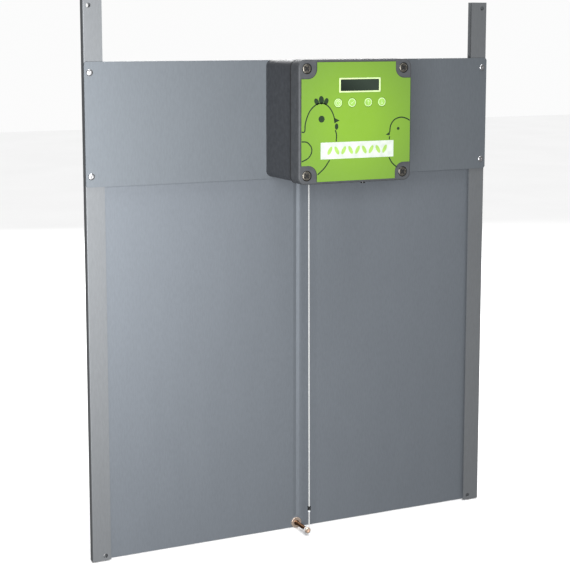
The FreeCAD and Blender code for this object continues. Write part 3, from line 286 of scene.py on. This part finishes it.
SLOT_MATERIALS = {
    "rail_metal": lambda n: sheet_metal(n, srgb(125, 128, 131)),
    "plate_metal": lambda n: sheet_metal(n, GREY_SHEET),
    "slider_metal": lambda n: sheet_metal(n, srgb(120, 126, 133)),
    "rivet_metal": lambda n: cast_metal(n, srgb(200, 200, 202), 0.3),
    "bolt_brass": lambda n: cast_metal(n, srgb(104, 76, 56), 0.3, 0.25),
    "washer_brass": lambda n: cast_metal(n, srgb(238, 216, 198), 0.42),
    "cord_white": lambda n: braided(n, srgb(196, 197, 196)),
    "crimp_black": lambda n: moulded(n, srgb(14, 15, 15), 0.4),
    "enclosure_grey": lambda n: moulded(n, srgb(72, 74, 77), 0.55, 0.0005, 0.00003,
                                        Specular_IOR_Level=0.25),
    "gasket_rubber": lambda n: moulded(n, srgb(38, 38, 39), 0.75),
    "lid_screw_steel": lambda n: cast_metal(n, srgb(128, 124, 116), 0.4, 0.2),
    "base_screw_steel": lambda n: cast_metal(n, STEEL, 0.3),
    "label_green": lambda n: printed_film(n, srgb(116, 155, 46), srgb(102, 137, 50)),
    "window_glass": lambda n: display_glass(n, srgb(22, 31, 25), srgb(42, 53, 44)),
    "display_module": lambda n: moulded(n, srgb(50, 60, 52), 0.4),
    "key_plastic": lambda n: moulded(n, srgb(140, 184, 84), 0.35),
    "sensor_black": lambda n: moulded(n, srgb(18, 18, 20), 0.15),
    "board_green": lambda n: circuit_board(n, srgb(26, 96, 52), srgb(60, 130, 80)),
    "chip_black": lambda n: moulded(n, BLACK, 0.5),
    "switch_black": lambda n: moulded(n, srgb(34, 34, 36), 0.45),
    "holder_black": lambda n: moulded(n, srgb(30, 30, 32), 0.55),
    "cell_jacket": lambda n: cell_jacket(n, srgb(40, 42, 46), srgb(200, 150, 60)),
    "contact_steel": lambda n: cast_metal(n, STEEL, 0.25),
    "winch_steel": lambda n: cast_metal(n, srgb(180, 181, 184), 0.35),
    "spacer_brass": lambda n: cast_metal(n, BRASS, 0.28),
    "bush_brass": lambda n: cast_metal(n, srgb(176, 136, 78), 0.45),
    "gear_plastic": lambda n: moulded(n, srgb(226, 224, 214), 0.4, Subsurface_Weight=0.1),
    "pinion_brass": lambda n: cast_metal(n, BRASS, 0.3),
    "drum_plastic": lambda n: moulded(n, srgb(40, 40, 43), 0.45),
    "motor_steel": lambda n: cast_metal(n, srgb(184, 184, 187), 0.3),
    "motor_cap": lambda n: moulded(n, srgb(38, 38, 38), 0.5),
    "shaft_steel": lambda n: cast_metal(n, srgb(200, 200, 202), 0.18),
    "bush_plastic": lambda n: moulded(n, srgb(30, 30, 31), 0.45),
}


def paint_cad_nodes():
    """Give every CAD node the material of its slot, and return the materials by slot.

    The housing's base is given a darker grey than the lid, painted shade so that it looks right in
    this light."""
    made = {slot: build(slot) for slot, build in SLOT_MATERIALS.items()}
    for part in frame["record"]["subparts"]:
        mesh = frame["nodes"][part["node"]].data
        mesh.materials.clear()
        mesh.materials.append(made[part["material_slot"]])
    # Painted shade: the base gets a darker, shaded copy of the housing's grey.
    shaded_base_grey = moulded("enclosure_base_shaded_grey", srgb(65, 67, 71), 0.55, 0.0005, 0.00003,
                        Specular_IOR_Level=0.2)
    frame["nodes"]["enclosure_base"].data.materials[0] = shaded_base_grey
    return made


MATERIALS = paint_cad_nodes()


# Mesh helpers. Each returns an object that is not yet in the assembly.

def finished(name, mesh_data, smooth=True):
    """An object from a bmesh, with shading that keeps its sharp edges."""
    bmesh.ops.recalc_face_normals(mesh_data, faces=mesh_data.faces)
    mesh = bpy.data.meshes.new(name)
    mesh_data.to_mesh(mesh)
    mesh_data.free()
    piece = bpy.data.objects.new(name, mesh)
    bpy.context.scene.collection.objects.link(piece)
    if smooth:
        mesh.shade_smooth()
        mesh.set_sharp_from_angle(angle=math.radians(38))
    return piece


def add(piece, body, slot, *nodes, material=None):
    """Put a piece in the assembly: its body, its finish and the CAD nodes it stands for."""
    piece.data.materials.append(material or MATERIALS[slot])
    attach(piece, body)
    if nodes:
        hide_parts(*nodes)
    return piece


def spin_into(target, profile, centre, axis, segments=64):
    """Add a surface of revolution: profile is (radius, distance along the axis) points."""
    along = Vector(axis).normalized()
    side = along.orthogonal().normalized()
    up = along.cross(side)
    rings = []
    for radius, distance in profile:
        middle = Vector(centre) + along * distance
        if radius == 0:
            rings.append([target.verts.new(middle)])
            continue
        turns = [TURN * i / segments for i in range(segments)]
        rings.append([target.verts.new(middle + (side * math.cos(a) + up * math.sin(a)) * radius)
                      for a in turns])
    closed = profile[0][0] != 0
    count = len(rings)
    for i in range(count if closed else count - 1):
        a, b = rings[i], rings[(i + 1) % count]
        for j in range(segments):
            k = (j + 1) % segments
            corners = [a[j % len(a)], a[k % len(a)], b[k % len(b)], b[j % len(b)]]
            face = list(dict.fromkeys(corners))
            if len(face) > 2:
                target.faces.new(face)


def lathe(name, profile, centre, axis, segments=64):
    target = bmesh.new()
    spin_into(target, profile, centre, axis, segments)
    return finished(name, target)


def rounded_steps(corners, radius, steps=4):
    """A profile's corner points with each inner corner rounded; ends stay as they are."""
    points = [corners[0]]
    for before, corner, after in zip(corners, corners[1:], corners[2:]):
        at = Vector(corner)
        back, ahead = Vector(before) - at, Vector(after) - at
        cut = min(radius, back.length * 0.45, ahead.length * 0.45)
        start, end = at + back.normalized() * cut, at + ahead.normalized() * cut
        for i in range(steps + 1):
            t = i / steps
            points.append(tuple(start * (1 - t) ** 2 + at * 2 * t * (1 - t) + end * t ** 2))
    points.append(corners[-1])
    return points


def smooth_path(points, steps=10):
    """A Catmull-Rom curve through the points."""
    ends = [points[0], *points, points[-1]]
    path = []
    for a, b, c, d in zip(ends, ends[1:], ends[2:], ends[3:]):
        for i in range(steps):
            t = i / steps
            path.append(0.5 * (2 * b + (c - a) * t + (2 * a - 5 * b + 4 * c - d) * t ** 2
                               + (3 * b - a - 3 * c + d) * t ** 3))
    path.append(points[-1])
    return path


def rope_into(target, path, radius, strands=3, lay=0.0042, around=18):
    """A laid cord: a tube along path whose section is lobed and turns once every lay."""
    travelled, rings = 0.0, []
    direction = (path[1] - path[0]).normalized()
    side = direction.orthogonal().normalized()
    for i, spot in enumerate(path):
        if i:
            travelled += (spot - path[i - 1]).length
        ahead = path[min(i + 1, len(path) - 1)] - path[max(i - 1, 0)]
        direction = ahead.normalized()
        side = (side - direction * side.dot(direction)).normalized()
        up = direction.cross(side)
        ring = []
        for j in range(around):
            angle = TURN * j / around
            lobe = abs(math.cos((angle - TURN * travelled / lay) * strands / 2))
            reach = radius * (0.84 + 0.16 * lobe)
            offset = (side * math.cos(angle) + up * math.sin(angle)) * reach
            ring.append(target.verts.new(spot + offset))
        rings.append(ring)
    for a, b in zip(rings, rings[1:]):
        for j in range(around):
            k = (j + 1) % around
            target.faces.new((a[j], a[k], b[k], b[j]))
    target.faces.new(list(reversed(rings[0])))
    target.faces.new(rings[-1])


def evenly(start, end, spacing):
    count = max(2, round((end - start).length / spacing))
    return [start.lerp(end, i / count) for i in range(count + 1)]


# The cord and what it lifts by.

def make_lift_cord():
    """The hanging cord, with a mesh of its own, built at its rest length. The real cord shortens
    towards its outlet as the slider rises.
    """
    target = bmesh.new()
    rope_into(target, evenly(CORD_TOP, CORD_END, 0.0005), CORD_R)
    piece = add(finished("hoist_cord", target), "door_frame", "cord_white", "lift_cord")
    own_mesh(piece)


def make_cord_hitch():
    """The cord's end, down beside the bolt, three quarters round it and into a knot."""
    start = Vector((LOOP_R, BOLT_CENTRE.y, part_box("cord_loop")[1].z))
    foot = BOLT_CENTRE + Vector((LOOP_R, 0, 0))
    path = evenly(start, foot, 0.0005)[:-1]
    loop_steps, three_quarters = 36, math.radians(270)
    for i in range(loop_steps + 1):
        angle = -three_quarters * i / loop_steps
        path.append(BOLT_CENTRE + Vector((math.cos(angle), 0, math.sin(angle))) * LOOP_R)
    target = bmesh.new()
    rope_into(target, path, CORD_R)
    knot_middle = BOLT_CENTRE + Vector((0, 0, LOOP_R + 0.0005))
    knot_r, knot_swing, knot_steps = 0.00058, 0.00022, 60
    knot = []
    for i in range(knot_steps + 1):
        angle = TURN * i / knot_steps
        wide = knot_r + knot_swing * math.cos(3 * angle)
        knot.append(knot_middle + Vector((wide * math.cos(2 * angle),
                                          knot_swing * 1.3 * math.sin(3 * angle),
                                          wide * math.sin(2 * angle))))
    rope_into(target, knot, CORD_R * 0.62)
    add(finished("cord_hitch", target), "slider", "cord_white", "cord_loop")


def make_crimp_and_bead():
    """The waisted crimp that holds the cord's end, and the bead threaded on under it."""
    low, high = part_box("cord_crimp")
    middle = (low + high) / 2
    radius, height = (high.x - low.x) / 2, high.z - low.z
    outline = [(CORD_R, 0), (radius * 0.86, 0), (radius, height * 0.2), (radius * 0.8, height * 0.36),
               (radius * 0.8, height * 0.64), (radius, height * 0.8), (radius * 0.86, height),
               (CORD_R, height)]
    foot = (middle.x, middle.y, low.z)
    sleeve = lathe("crimp_sleeve", rounded_steps(outline, 0.0003), foot, UP, 40)
    add(sleeve, "slider", "crimp_black", "cord_crimp")
    low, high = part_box("cord_bead")
    middle = (low + high) / 2
    reach = (high.x - low.x) / 2
    half, arc_steps = math.asin(min(1, CORD_R / reach)), 14
    arc = [half + (math.pi - 2 * half) * i / arc_steps for i in range(arc_steps + 1)]
    outline = [(reach * math.sin(a), -reach * math.cos(a)) for a in arc]
    add(lathe("stop_bead", outline, middle, UP, 40), "slider", "cord_white", "cord_bead",
        material=moulded("bead_plastic", srgb(244, 244, 240), 0.3, Subsurface_Weight=0.2))


def make_bolt():
    """The lifting bolt: riveted foot, collar, threaded shank and a dimpled head."""
    low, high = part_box("lift_bolt")
    centre = (0, high.y, (low.z + high.z) / 2)
    length = high.y - low.y
    head_r, shank_r, collar_r = (high.z - low.z) / 2 * 0.97, 0.002, 0.0028
    foot_r, foot_thick, foot_round = 0.0032, 0.0009, 0.0003
    collar_thick, head_thick, dimple_r, dimple_deep = 0.0003, 0.0021, 0.0013, 0.0009
    washer_face = high.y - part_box("bolt_washer")[0].y
    profile = [(0, 0), (foot_r * 0.8, 0), (foot_r, foot_thick - foot_round), (foot_r, foot_thick),
               (shank_r, foot_thick), (shank_r, washer_face), (collar_r, washer_face),
               (collar_r, washer_face + collar_thick)]
    thread_start, thread_end = washer_face + 3 * collar_thick, length - head_thick - collar_thick
    profile.append((shank_r, thread_start))
    turns = 26
    pitch = (thread_end - thread_start) / turns
    for i in range(turns):
        root = thread_start + pitch * (i + 0.5)
        profile += [(shank_r * 0.86, root), (shank_r, root + pitch / 2)]
    inside_head = length - head_thick * 0.7
    profile += [(shank_r, inside_head), (0, inside_head)]
    add(lathe("draw_bolt", profile, centre, FRONT, 56), "slider", "bolt_brass", "lift_bolt")
    head_back = length - head_thick
    cap = [(0, head_back), (shank_r, head_back), (head_r, head_back), (head_r, length - 0.0005),
           (head_r * 0.84, length), (dimple_r * 1.2, length), (dimple_r, length - dimple_deep),
           (0, length - dimple_deep)]
    add(lathe("draw_bolt_head", cap, centre, FRONT, 56), "slider", "washer_brass", "lift_bolt")
    low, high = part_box("bolt_washer")
    radius, thick = (high.x - low.x) / 2, high.y - low.y
    hole_r = shank_r + 0.00005
    ring = rounded_steps([(hole_r, 0), (radius, 0), (radius, thick), (hole_r, thick)], 0.0003)
    add(lathe("flat_washer", ring, (0, high.y, (low.z + high.z) / 2), FRONT, 64),
        "slider", "washer_brass", "bolt_washer")


SCREW_HEAD_R = 0.0048
SCREW_HEAD_HIGH = 0.0026
SCREW_EDGE_R = 0.0012
SCREW_SHANK_R = 0.0019
RECESS_REACH = 0.0031
RECESS_HALF = 0.00085
RECESS_DEEP = 0.0015
DIAGONAL = math.sqrt(0.5)


def recess_depth(across, up):
    """How deep the cross recess is at a point of a screw's face, with sloping walls and arms."""
    wall = 0.0002
    deepest = 0.0
    for along, aside in ((abs(across), abs(up)), (abs(up), abs(across))):
        arm_half = RECESS_HALF * (1.15 - 0.5 * along / RECESS_REACH)
        inside = min(RECESS_REACH - along, arm_half - aside)
        share = max(0.0, min(1.0, inside / wall + 0.5))
        deepest = max(deepest, share * RECESS_DEEP * (1 - 0.4 * along / RECESS_REACH))
    return deepest


def screw_into(target, x, z, front, back, rings=30, segments=96):
    """One pan head screw: a rounded face with its cross recess, then the head's side and shank."""
    def ring(radius, depth_at):
        row = []
        for j in range(segments):
            across = radius * math.cos(TURN * j / segments)
            up = radius * math.sin(TURN * j / segments)
            row.append(target.verts.new((x + across, depth_at(across, up), z + up)))
        return row

    skin = []
    for i in range(1, rings + 1):
        radius = SCREW_HEAD_R * i / rings
        past = max(0.0, radius - (SCREW_HEAD_R - SCREW_EDGE_R))
        fall = SCREW_EDGE_R - math.sqrt(SCREW_EDGE_R ** 2 - min(past, SCREW_EDGE_R) ** 2)
        skin.append(ring(radius, lambda a, b, fall=fall: front + fall + recess_depth(
            (a + b) * DIAGONAL, (b - a) * DIAGONAL)))
    head_back = front + SCREW_HEAD_HIGH
    for radius, y in ((SCREW_HEAD_R, head_back), (SCREW_SHANK_R, head_back),
                      (SCREW_SHANK_R, back - 0.001), (SCREW_SHANK_R * 0.6, back)):
        skin.append(ring(radius, lambda a, b, y=y: y))
    middle = target.verts.new((x, front + RECESS_DEEP, z))
    for j in range(segments):
        k = (j + 1) % segments
        target.faces.new((middle, skin[0][j], skin[0][k]))
        for a, b in zip(skin, skin[1:]):
            target.faces.new((a[j], a[k], b[k], b[j]))
    target.faces.new(skin[-1])


def make_lid_screws():
    """The four lid screws, each with a thin dark cross of painted shade just inside the mouth of its
    recess.
    """
    low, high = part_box("lid_screws")
    heads, shade_crosses = bmesh.new(), bmesh.new()
    arm, half = RECESS_REACH * 1.1, RECESS_HALF * 0.94
    corners = [(arm, -half), (arm, half), (half, half), (half, arm), (-half, arm), (-half, half),
               (-arm, half), (-arm, -half), (-half, -half), (-half, -arm), (half, -arm),
               (half, -half)]
    shade_drop = 0.0002
    for x in (low.x + SCREW_HEAD_R, high.x - SCREW_HEAD_R):
        for z in (low.z + SCREW_HEAD_R, high.z - SCREW_HEAD_R):
            screw_into(heads, x, z, low.y, high.y)
            # Painted shade: a thin dark cross sits just inside each recess, standing for the shade
            # within it.
            cross = [(x + (a - b) * DIAGONAL, z + (a + b) * DIAGONAL) for a, b in corners]
            patch_into(shade_crosses, cross, low.y + shade_drop)
    add(finished("lid_screw_heads", heads), "door_frame", "lid_screw_steel", "lid_screws")
    add(finished("lid_screw_shade_cross", shade_crosses, smooth=False), "door_frame", "lid_screw_steel",
        material=moulded("recess_shadow", srgb(18, 18, 19), 0.7))


def make_seam_shade_band():
    """A thin dark band round the lid's open edge, painted shade that draws the dark line at the seam.
    """
    low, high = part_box("enclosure_lid")
    x, z = (low.x + high.x) / 2, (low.z + high.z) / 2
    width, height, corner_r = high.x - low.x, high.z - low.z, 0.0075
    proud, lip = 0.00008, 0.002

    def outline(grow):
        return rounded_rectangle(x, z, width + 2 * grow, height + 2 * grow, corner_r)

    target = bmesh.new()
    front = high.y - lip
    stack_into(target, [(outline(-proud), front), (outline(proud), front),
                        (outline(proud), high.y), (outline(-proud), high.y)], closed=True)
    # Painted shade: a dark band in the gasket's rubber, standing for the shade under the lid's
    # overhang.
    add(finished("seam_painted_shade", target), "door_frame", "gasket_rubber")


def make_rivets():
    """Blind rivets: a domed flange with a sunk mandrel eye, and the bulbed tail behind."""
    low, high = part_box("cover_rivets")
    flange_r, flange_back, depth = 0.0033, 0.0011, high.y - low.y
    eye_r, eye_deep, crown_r, dome_high = 0.0009, 0.0008, 0.0013, 0.001
    shank_r, bulb_r, tail_r = 0.0016, 0.0023, 0.0021
    profile = [(0, eye_deep), (eye_r, eye_deep), (0.00095, eye_deep / 2), (0.0011, 0.00012)]
    dome_steps = 6
    for i in range(dome_steps + 1):
        angle = math.radians(90) * i / dome_steps
        profile.append((crown_r + (flange_r - crown_r) * math.sin(angle),
                        flange_back - dome_high * math.cos(angle)))
    profile += [(shank_r, flange_back), (shank_r, depth - 0.0019), (bulb_r, depth - 0.0016),
                (tail_r, depth - 0.0003), (eye_r, depth), (0, depth)]
    target = bmesh.new()
    for x in (low.x + flange_r, high.x - flange_r):
        for z in (low.z + flange_r, high.z - flange_r):
            spin_into(target, profile, (x, low.y, z), BACK, 40)
    add(finished("blind_rivets", target), "door_frame", "rivet_metal", "cover_rivets")


# The display and the keys.

def rounded_rectangle(centre_x, centre_z, width, height, radius, steps=6):
    """Outline points of a rounded rectangle in the XZ plane, counter-clockwise from the front."""
    points = []
    for sx, sz, start in ((1, -1, -90), (1, 1, 0), (-1, 1, 90), (-1, -1, 180)):
        middle_x = centre_x + sx * (width / 2 - radius)
        middle_z = centre_z + sz * (height / 2 - radius)
        for i in range(steps + 1):
            angle = math.radians(start + 90 * i / steps)
            points.append((middle_x + radius * math.cos(angle), middle_z + radius * math.sin(angle)))
    return points


def stack_into(target, outlines, closed=False):
    """Join equal-length outlines, given as (points, y), into a skin; cap it, or close it round."""
    rings = [[target.verts.new((x, y, z)) for x, z in points] for points, y in outlines]
    pairs = list(zip(rings, rings[1:] + rings[:1])) if closed else list(zip(rings, rings[1:]))
    for a, b in pairs:
        for j in range(len(a)):
            k = (j + 1) % len(a)
            target.faces.new((a[j], a[k], b[k], b[j]))
    if not closed:
        target.faces.new(rings[0])
        target.faces.new(list(reversed(rings[-1])))


def make_display():
    """The window: a pale frame with a bevelled lip, round a dark pane set a little back."""
    low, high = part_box("display_window")
    x, z = (low.x + high.x) / 2, (low.z + high.z) / 2
    width, height = high.x - low.x, high.z - low.z
    pane_width, pane_height = 0.0430, 0.0117
    front, back = low.y, high.y
    lip = 0.00025

    def outline(inset, radius=0.0008):
        return rounded_rectangle(x, z, width - 2 * inset, height - 2 * inset, radius)

    inner = rounded_rectangle(x, z, pane_width, pane_height, 0.0006)
    inner_low = rounded_rectangle(x, z, pane_width - 2 * lip, pane_height - 2 * lip, 0.0005)
    target = bmesh.new()
    stack_into(target, [(outline(0), back), (outline(0), front + lip), (outline(lip), front),
                        (inner, front), (inner_low, front + lip), (inner_low, back)], closed=True)
    add(finished("window_frame", target), "door_frame", "window_glass", "display_window",
        material=moulded("window_frame_plastic", srgb(196, 218, 160), 0.35))
    pane = bmesh.new()
    edge = rounded_rectangle(x, z, pane_width - 2 * lip, pane_height - 2 * lip, 0.0005)
    stack_into(pane, [(edge, front + lip * 1.4), (edge, back)])
    add(finished("window_pane", pane), "door_frame", "window_glass")


PRINT = 0.00004
KEY_FACE_DROP = 0.0001
KEY_RING_MM = 3.7


def make_keys():
    """Round key caps with a softly dished face, each with its printed ring and sign."""
    signs = {"key_clock": clock_sign, "key_confirm": tick_sign, "key_up": up_sign,
             "key_down": down_sign}
    ink = moulded("key_ink", srgb(206, 222, 186), 0.5)
    cap_r, flange_r, stem_r = 0.0044, 0.0055, 0.0015
    flange_inset, flange_thick = 0.0005, 0.0008
    for node, draw in signs.items():
        body = node.replace("key_", "") + "_key"
        low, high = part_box(node)
        x, z = (low.x + high.x) / 2, (low.z + high.z) / 2
        face = low.y + KEY_FACE_DROP
        depth = high.y - face
        flange_back = depth - flange_inset
        flange_front = flange_back - flange_thick
        profile = [(0, 0.00012), (cap_r * 0.55, 0.0001), (cap_r * 0.86, 0), (cap_r * 0.96, 0.0001),
                   (cap_r, 0.0004), (cap_r, flange_front), (flange_r, flange_front),
                   (flange_r, flange_back), (stem_r, flange_back), (stem_r, depth), (0, depth)]
        cap = lathe(node.replace("key_", "cap_"), profile, (x, face, z), BACK, 48)
        add(cap, body, "key_plastic", node)
        sign = draw(node.replace("key_", "sign_"), x, z, face - PRINT / 2)
        add(sign, body, "key_plastic", material=ink)


def ribbon_into(target, points, width, face):
    """A flat printed line through (x, z) points, proud of the face, with drawn-in ends."""
    flat = [Vector((p[0], 0, p[1])) for p in points]
    left, right = [], []
    last = len(flat) - 1
    for i, spot in enumerate(flat):
        ahead = (flat[min(i + 1, last)] - flat[max(i - 1, 0)]).normalized()
        side = Vector((-ahead.z, 0, ahead.x))
        half = width / 2 * (0.6 if i in (0, last) else 1)
        left.append(spot + side * half)
        right.append(spot - side * half)

    front = [[target.verts.new((p.x, face, p.z)) for p in side_] for side_ in (left, right)]
    back = [[target.verts.new((p.x, face + PRINT, p.z)) for p in side_] for side_ in (left, right)]
    for i in range(last):
        target.faces.new((front[0][i], front[0][i + 1], front[1][i + 1], front[1][i]))
        target.faces.new((back[0][i], back[1][i], back[1][i + 1], back[0][i + 1]))
        for a, b in zip(front, back):
            target.faces.new((a[i], b[i], b[i + 1], a[i + 1]))
    for i in (0, last):
        target.faces.new((front[0][i], front[1][i], back[1][i], back[0][i]))


def patch_into(target, outline, face):
    """A flat printed area with the given (x, z) outline."""
    front = [target.verts.new((x, face, z)) for x, z in outline]
    back = [target.verts.new((x, face + PRINT, z)) for x, z in outline]
    target.faces.new(front)
    target.faces.new(list(reversed(back)))
    count = len(outline)
    for i in range(count):
        k = (i + 1) % count
        target.faces.new((front[i], back[i], back[k], front[k]))


def circle_points(x, z, radius, count=40, squash=1.0, turn=0.0):
    points = []
    for i in range(count):
        angle = TURN * i / count
        px, pz = radius * math.cos(angle), radius * squash * math.sin(angle)
        points.append((x + px * math.cos(turn) - pz * math.sin(turn),
                       z + px * math.sin(turn) + pz * math.cos(turn)))
    return points


def sign_of(name, x, z, face, strokes, width=0.00042):
    """A key's ring, and its sign from strokes of points in millimetres round its centre."""
    target = bmesh.new()
    for stroke in [ring_stroke(KEY_RING_MM), *strokes]:
        ribbon_into(target, [(x + px * MM, z + pz * MM) for px, pz in stroke], width, face)
    return finished(name, target, smooth=False)


def ring_stroke(radius, count=36):
    return [(radius * math.cos(TURN * i / count), radius * math.sin(TURN * i / count))
            for i in range(count + 1)]


def clock_sign(name, x, z, face):
    return sign_of(name, x, z, face, [ring_stroke(2.1), [(0, 1.3), (0, 0), (0.9, -0.5)]])


def tick_sign(name, x, z, face):
    return sign_of(name, x, z, face, [[(-1.6, 0.1), (-0.5, -1.1), (1.7, 1.3)]])


def up_sign(name, x, z, face):
    return sign_of(name, x, z, face, [[(0, -1.9), (0, 1.7)], [(-1.2, 0.6), (0, 1.9), (1.2, 0.6)]])


def down_sign(name, x, z, face):
    return sign_of(name, x, z, face, [[(0, 1.9), (0, -1.7)], [(-1.2, -0.6), (0, -1.9), (1.2, -0.6)]])


# The printed front: two line-drawn birds and a banner, in millimetres from the label's middle.

HEN_LINES = [
    [(-60.0, -8.7), (-56.8, -8.3), (-55.8, 0.2), (-51.4, 10.7), (-43.9, 17.3), (-35.9, 17.9),
     (-29.4, 13.3), (-25.4, 5.9), (-24.0, -1.3)],
    [(-23.6, -7.7), (-22.2, -12.7), (-22.6, -19.1)],
    [(-29.6, -36.5), (-35.4, -44.3), (-42.8, -50.5)],
    [(-60.0, -18.1), (-54.0, -18.9), (-49.6, -23.7), (-49.4, -28.9), (-53.0, -34.1), (-60.0, -37.3)],
]
CHICK_LINES = [
    [(37.2, -11.7), (38.2, -4.9), (42.4, 0.5), (49.4, 2.7), (55.8, 1.5), (59.8, -0.7)],
    [(37.0, -15.7), (36.8, -18.9)],
    [(36.6, -36.4), (40.0, -41.9), (45.8, -46.7)],
]
HEN_BEAK = [(-24.8, 4.1), (-18.8, 1.3), (-23.6, -0.7)]
CHICK_BEAK = [(37.5, -10.9), (32.6, -14.1), (37.0, -14.9)]
COMB_LOBES = [(-44.0, 19.9, 2.3, 0.5), (-38.8, 21.3, 2.7, 0.1), (-33.6, 19.9, 2.3, -0.4)]
HEN_EYE = (-38.6, 3.1, 3.3)
CHICK_EYE = (46.8, -8.3, 1.5)
HEN_WATTLE = (-22.2, -4.5, 1.9)
LINE_MM = 1.25


def on_label(x, z):
    """A point given in millimetres from the label's middle, as metres in the frame."""
    low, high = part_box("front_label")
    return (low.x + high.x) / 2 + x * MM, (low.z + high.z) / 2 + z * MM


def bird_into(target, lines, beak, eye, face):
    """A bird's outline strokes, its beak and its round eye."""
    for line in lines:
        points = [on_label(x, z) for x, z in line]
        path = smooth_path([Vector((x, 0, z)) for x, z in points])
        ribbon_into(target, [(p.x, p.z) for p in path], LINE_MM * MM, face)
    patch_into(target, [on_label(x, z) for x, z in beak], face)
    x, z, radius = eye
    patch_into(target, circle_points(*on_label(x, z), radius * MM), face)


def make_label_print():
    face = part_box("front_label")[0].y - PRINT * 0.8
    ink = moulded("print_ink", srgb(28, 48, 26), 0.45)
    hen = bmesh.new()
    bird_into(hen, HEN_LINES, HEN_BEAK, HEN_EYE, face)
    for x, z, size, turn in COMB_LOBES:
        patch_into(hen, circle_points(*on_label(x, z), size * MM, 28, 1.5, turn), face)
    x, z, size = HEN_WATTLE
    patch_into(hen, circle_points(*on_label(x, z), size * MM, 28, 1.6), face)
    add(finished("print_hen", hen, smooth=False), "door_frame", "label_green", material=ink)
    chick = bmesh.new()
    bird_into(chick, CHICK_LINES, CHICK_BEAK, CHICK_EYE, face)
    add(finished("print_chick", chick, smooth=False), "door_frame", "label_green", material=ink)
    make_banner(face - PRINT)


def make_banner(face):
    """A blank pale banner with a row of green grains where a name would be."""
    target = bmesh.new()
    centre_x, centre_z = on_label(1.0, -27.7)
    width, height, corner_r = 0.081, 0.0162, 0.0003
    outline = rounded_rectangle(centre_x, centre_z, width, height, corner_r, 2)
    patch_into(target, outline, face)
    add(finished("print_banner", target, smooth=False), "door_frame", "label_green",
        material=moulded("banner_ink", srgb(190, 198, 190), 0.45))
    grains = bmesh.new()
    count, spacing, grain_r, lean = 9, width * 0.094, 0.0019, 0.5
    for i in range(count):
        x = centre_x + (i - (count - 1) / 2) * spacing
        turn = lean if i % 2 else -lean
        patch_into(grains, circle_points(x, centre_z, grain_r, 24, 2.3, turn), face - PRINT)
    add(finished("print_grains", grains, smooth=False), "door_frame", "label_green",
        material=moulded("grain_ink", srgb(150, 186, 92), 0.45))


# The stage.

def make_floor():
    """A wide pale floor just under the door. It doesn't throw light back up at the door."""
    target = bmesh.new()
    size, low = 6.0, CAD_LOW.z - 0.0003
    corners = [(-size, -size), (size, -size), (size, size), (-size, size)]
    target.faces.new([target.verts.new((x, y, low)) for x, y in corners])
    floor = finished("floor", target, smooth=False)
    surface = Surface("floor_paper", 0.9)
    surface.colour(srgb(246, 246, 246), 0.01, 0.3)
    floor.data.materials.append(surface.material)
    floor.visible_diffuse = False
    floor.visible_glossy = False


def make_light(name, place, target, size, power):
    data = bpy.data.lights.new(name, "AREA")
    data.shape = "RECTANGLE"
    data.size, data.size_y = size
    data.energy = power
    lamp = bpy.data.objects.new(name, data)
    lamp.location = place
    lamp.rotation_euler = (Vector(target) - Vector(place)).to_track_quat("-Z", "Y").to_euler()
    bpy.context.scene.collection.objects.link(lamp)


def make_sun(strength):
    """A broad light from almost overhead, which keeps the floor evenly pale."""
    data = bpy.data.lights.new("overhead", "SUN")
    data.energy = strength
    data.angle = math.radians(40)
    lamp = bpy.data.objects.new("overhead", data)
    lamp.rotation_euler = (math.radians(12), 0, 0)
    bpy.context.scene.collection.objects.link(lamp)


def make_world():
    """White to the eye, and a softer fill for everything else."""
    world = bpy.data.worlds.new("studio")
    world.use_nodes = True
    bpy.context.scene.world = world
    nodes, links = world.node_tree.nodes, world.node_tree.links
    background = nodes["Background"]
    background.inputs["Color"].default_value = (1, 1, 1, 1)
    seen = nodes.new("ShaderNodeLightPath")
    span = nodes.new("ShaderNodeMapRange")
    span.inputs["To Min"].default_value = 0.22
    span.inputs["To Max"].default_value = 0.97
    links.new(seen.outputs["Is Camera Ray"], span.inputs["Value"])
    links.new(span.outputs["Result"], background.inputs["Strength"])


def make_camera():
    """The photograph's viewpoint: left of the door and a little above its middle."""
    data = bpy.data.cameras.new("camera")
    data.lens = 89.62
    data.sensor_width = 36
    data.shift_y = -0.10
    camera = bpy.data.objects.new("camera", data)
    camera.location = (-0.6443, -1.2970, 0.5149)
    yaw, pitch = math.radians(26.005), math.radians(7.886)
    direction = Vector((math.sin(yaw) * math.cos(pitch), math.cos(yaw) * math.cos(pitch),
                        -math.sin(pitch)))
    camera.rotation_euler = direction.to_track_quat("-Z", "Y").to_euler()
    bpy.context.scene.collection.objects.link(camera)
    bpy.context.scene.camera = camera


make_camera()
make_lift_cord()
make_cord_hitch()
make_crimp_and_bead()
make_bolt()
make_lid_screws()
make_seam_shade_band()
make_rivets()
make_display()
make_keys()
make_label_print()
make_floor()
make_world()
make_light("key", place=(-0.33, -0.74, 0.34), target=(-0.03, 0, 0.27), size=(0.45, 0.6), power=10.8)
make_light("back", place=(0.6, 1.8, 1.1), target=(0, 0, 0.25), size=(1.2, 1.2), power=32)
make_sun(strength=2.6)
bpy.context.scene.view_settings.view_transform = "Standard"
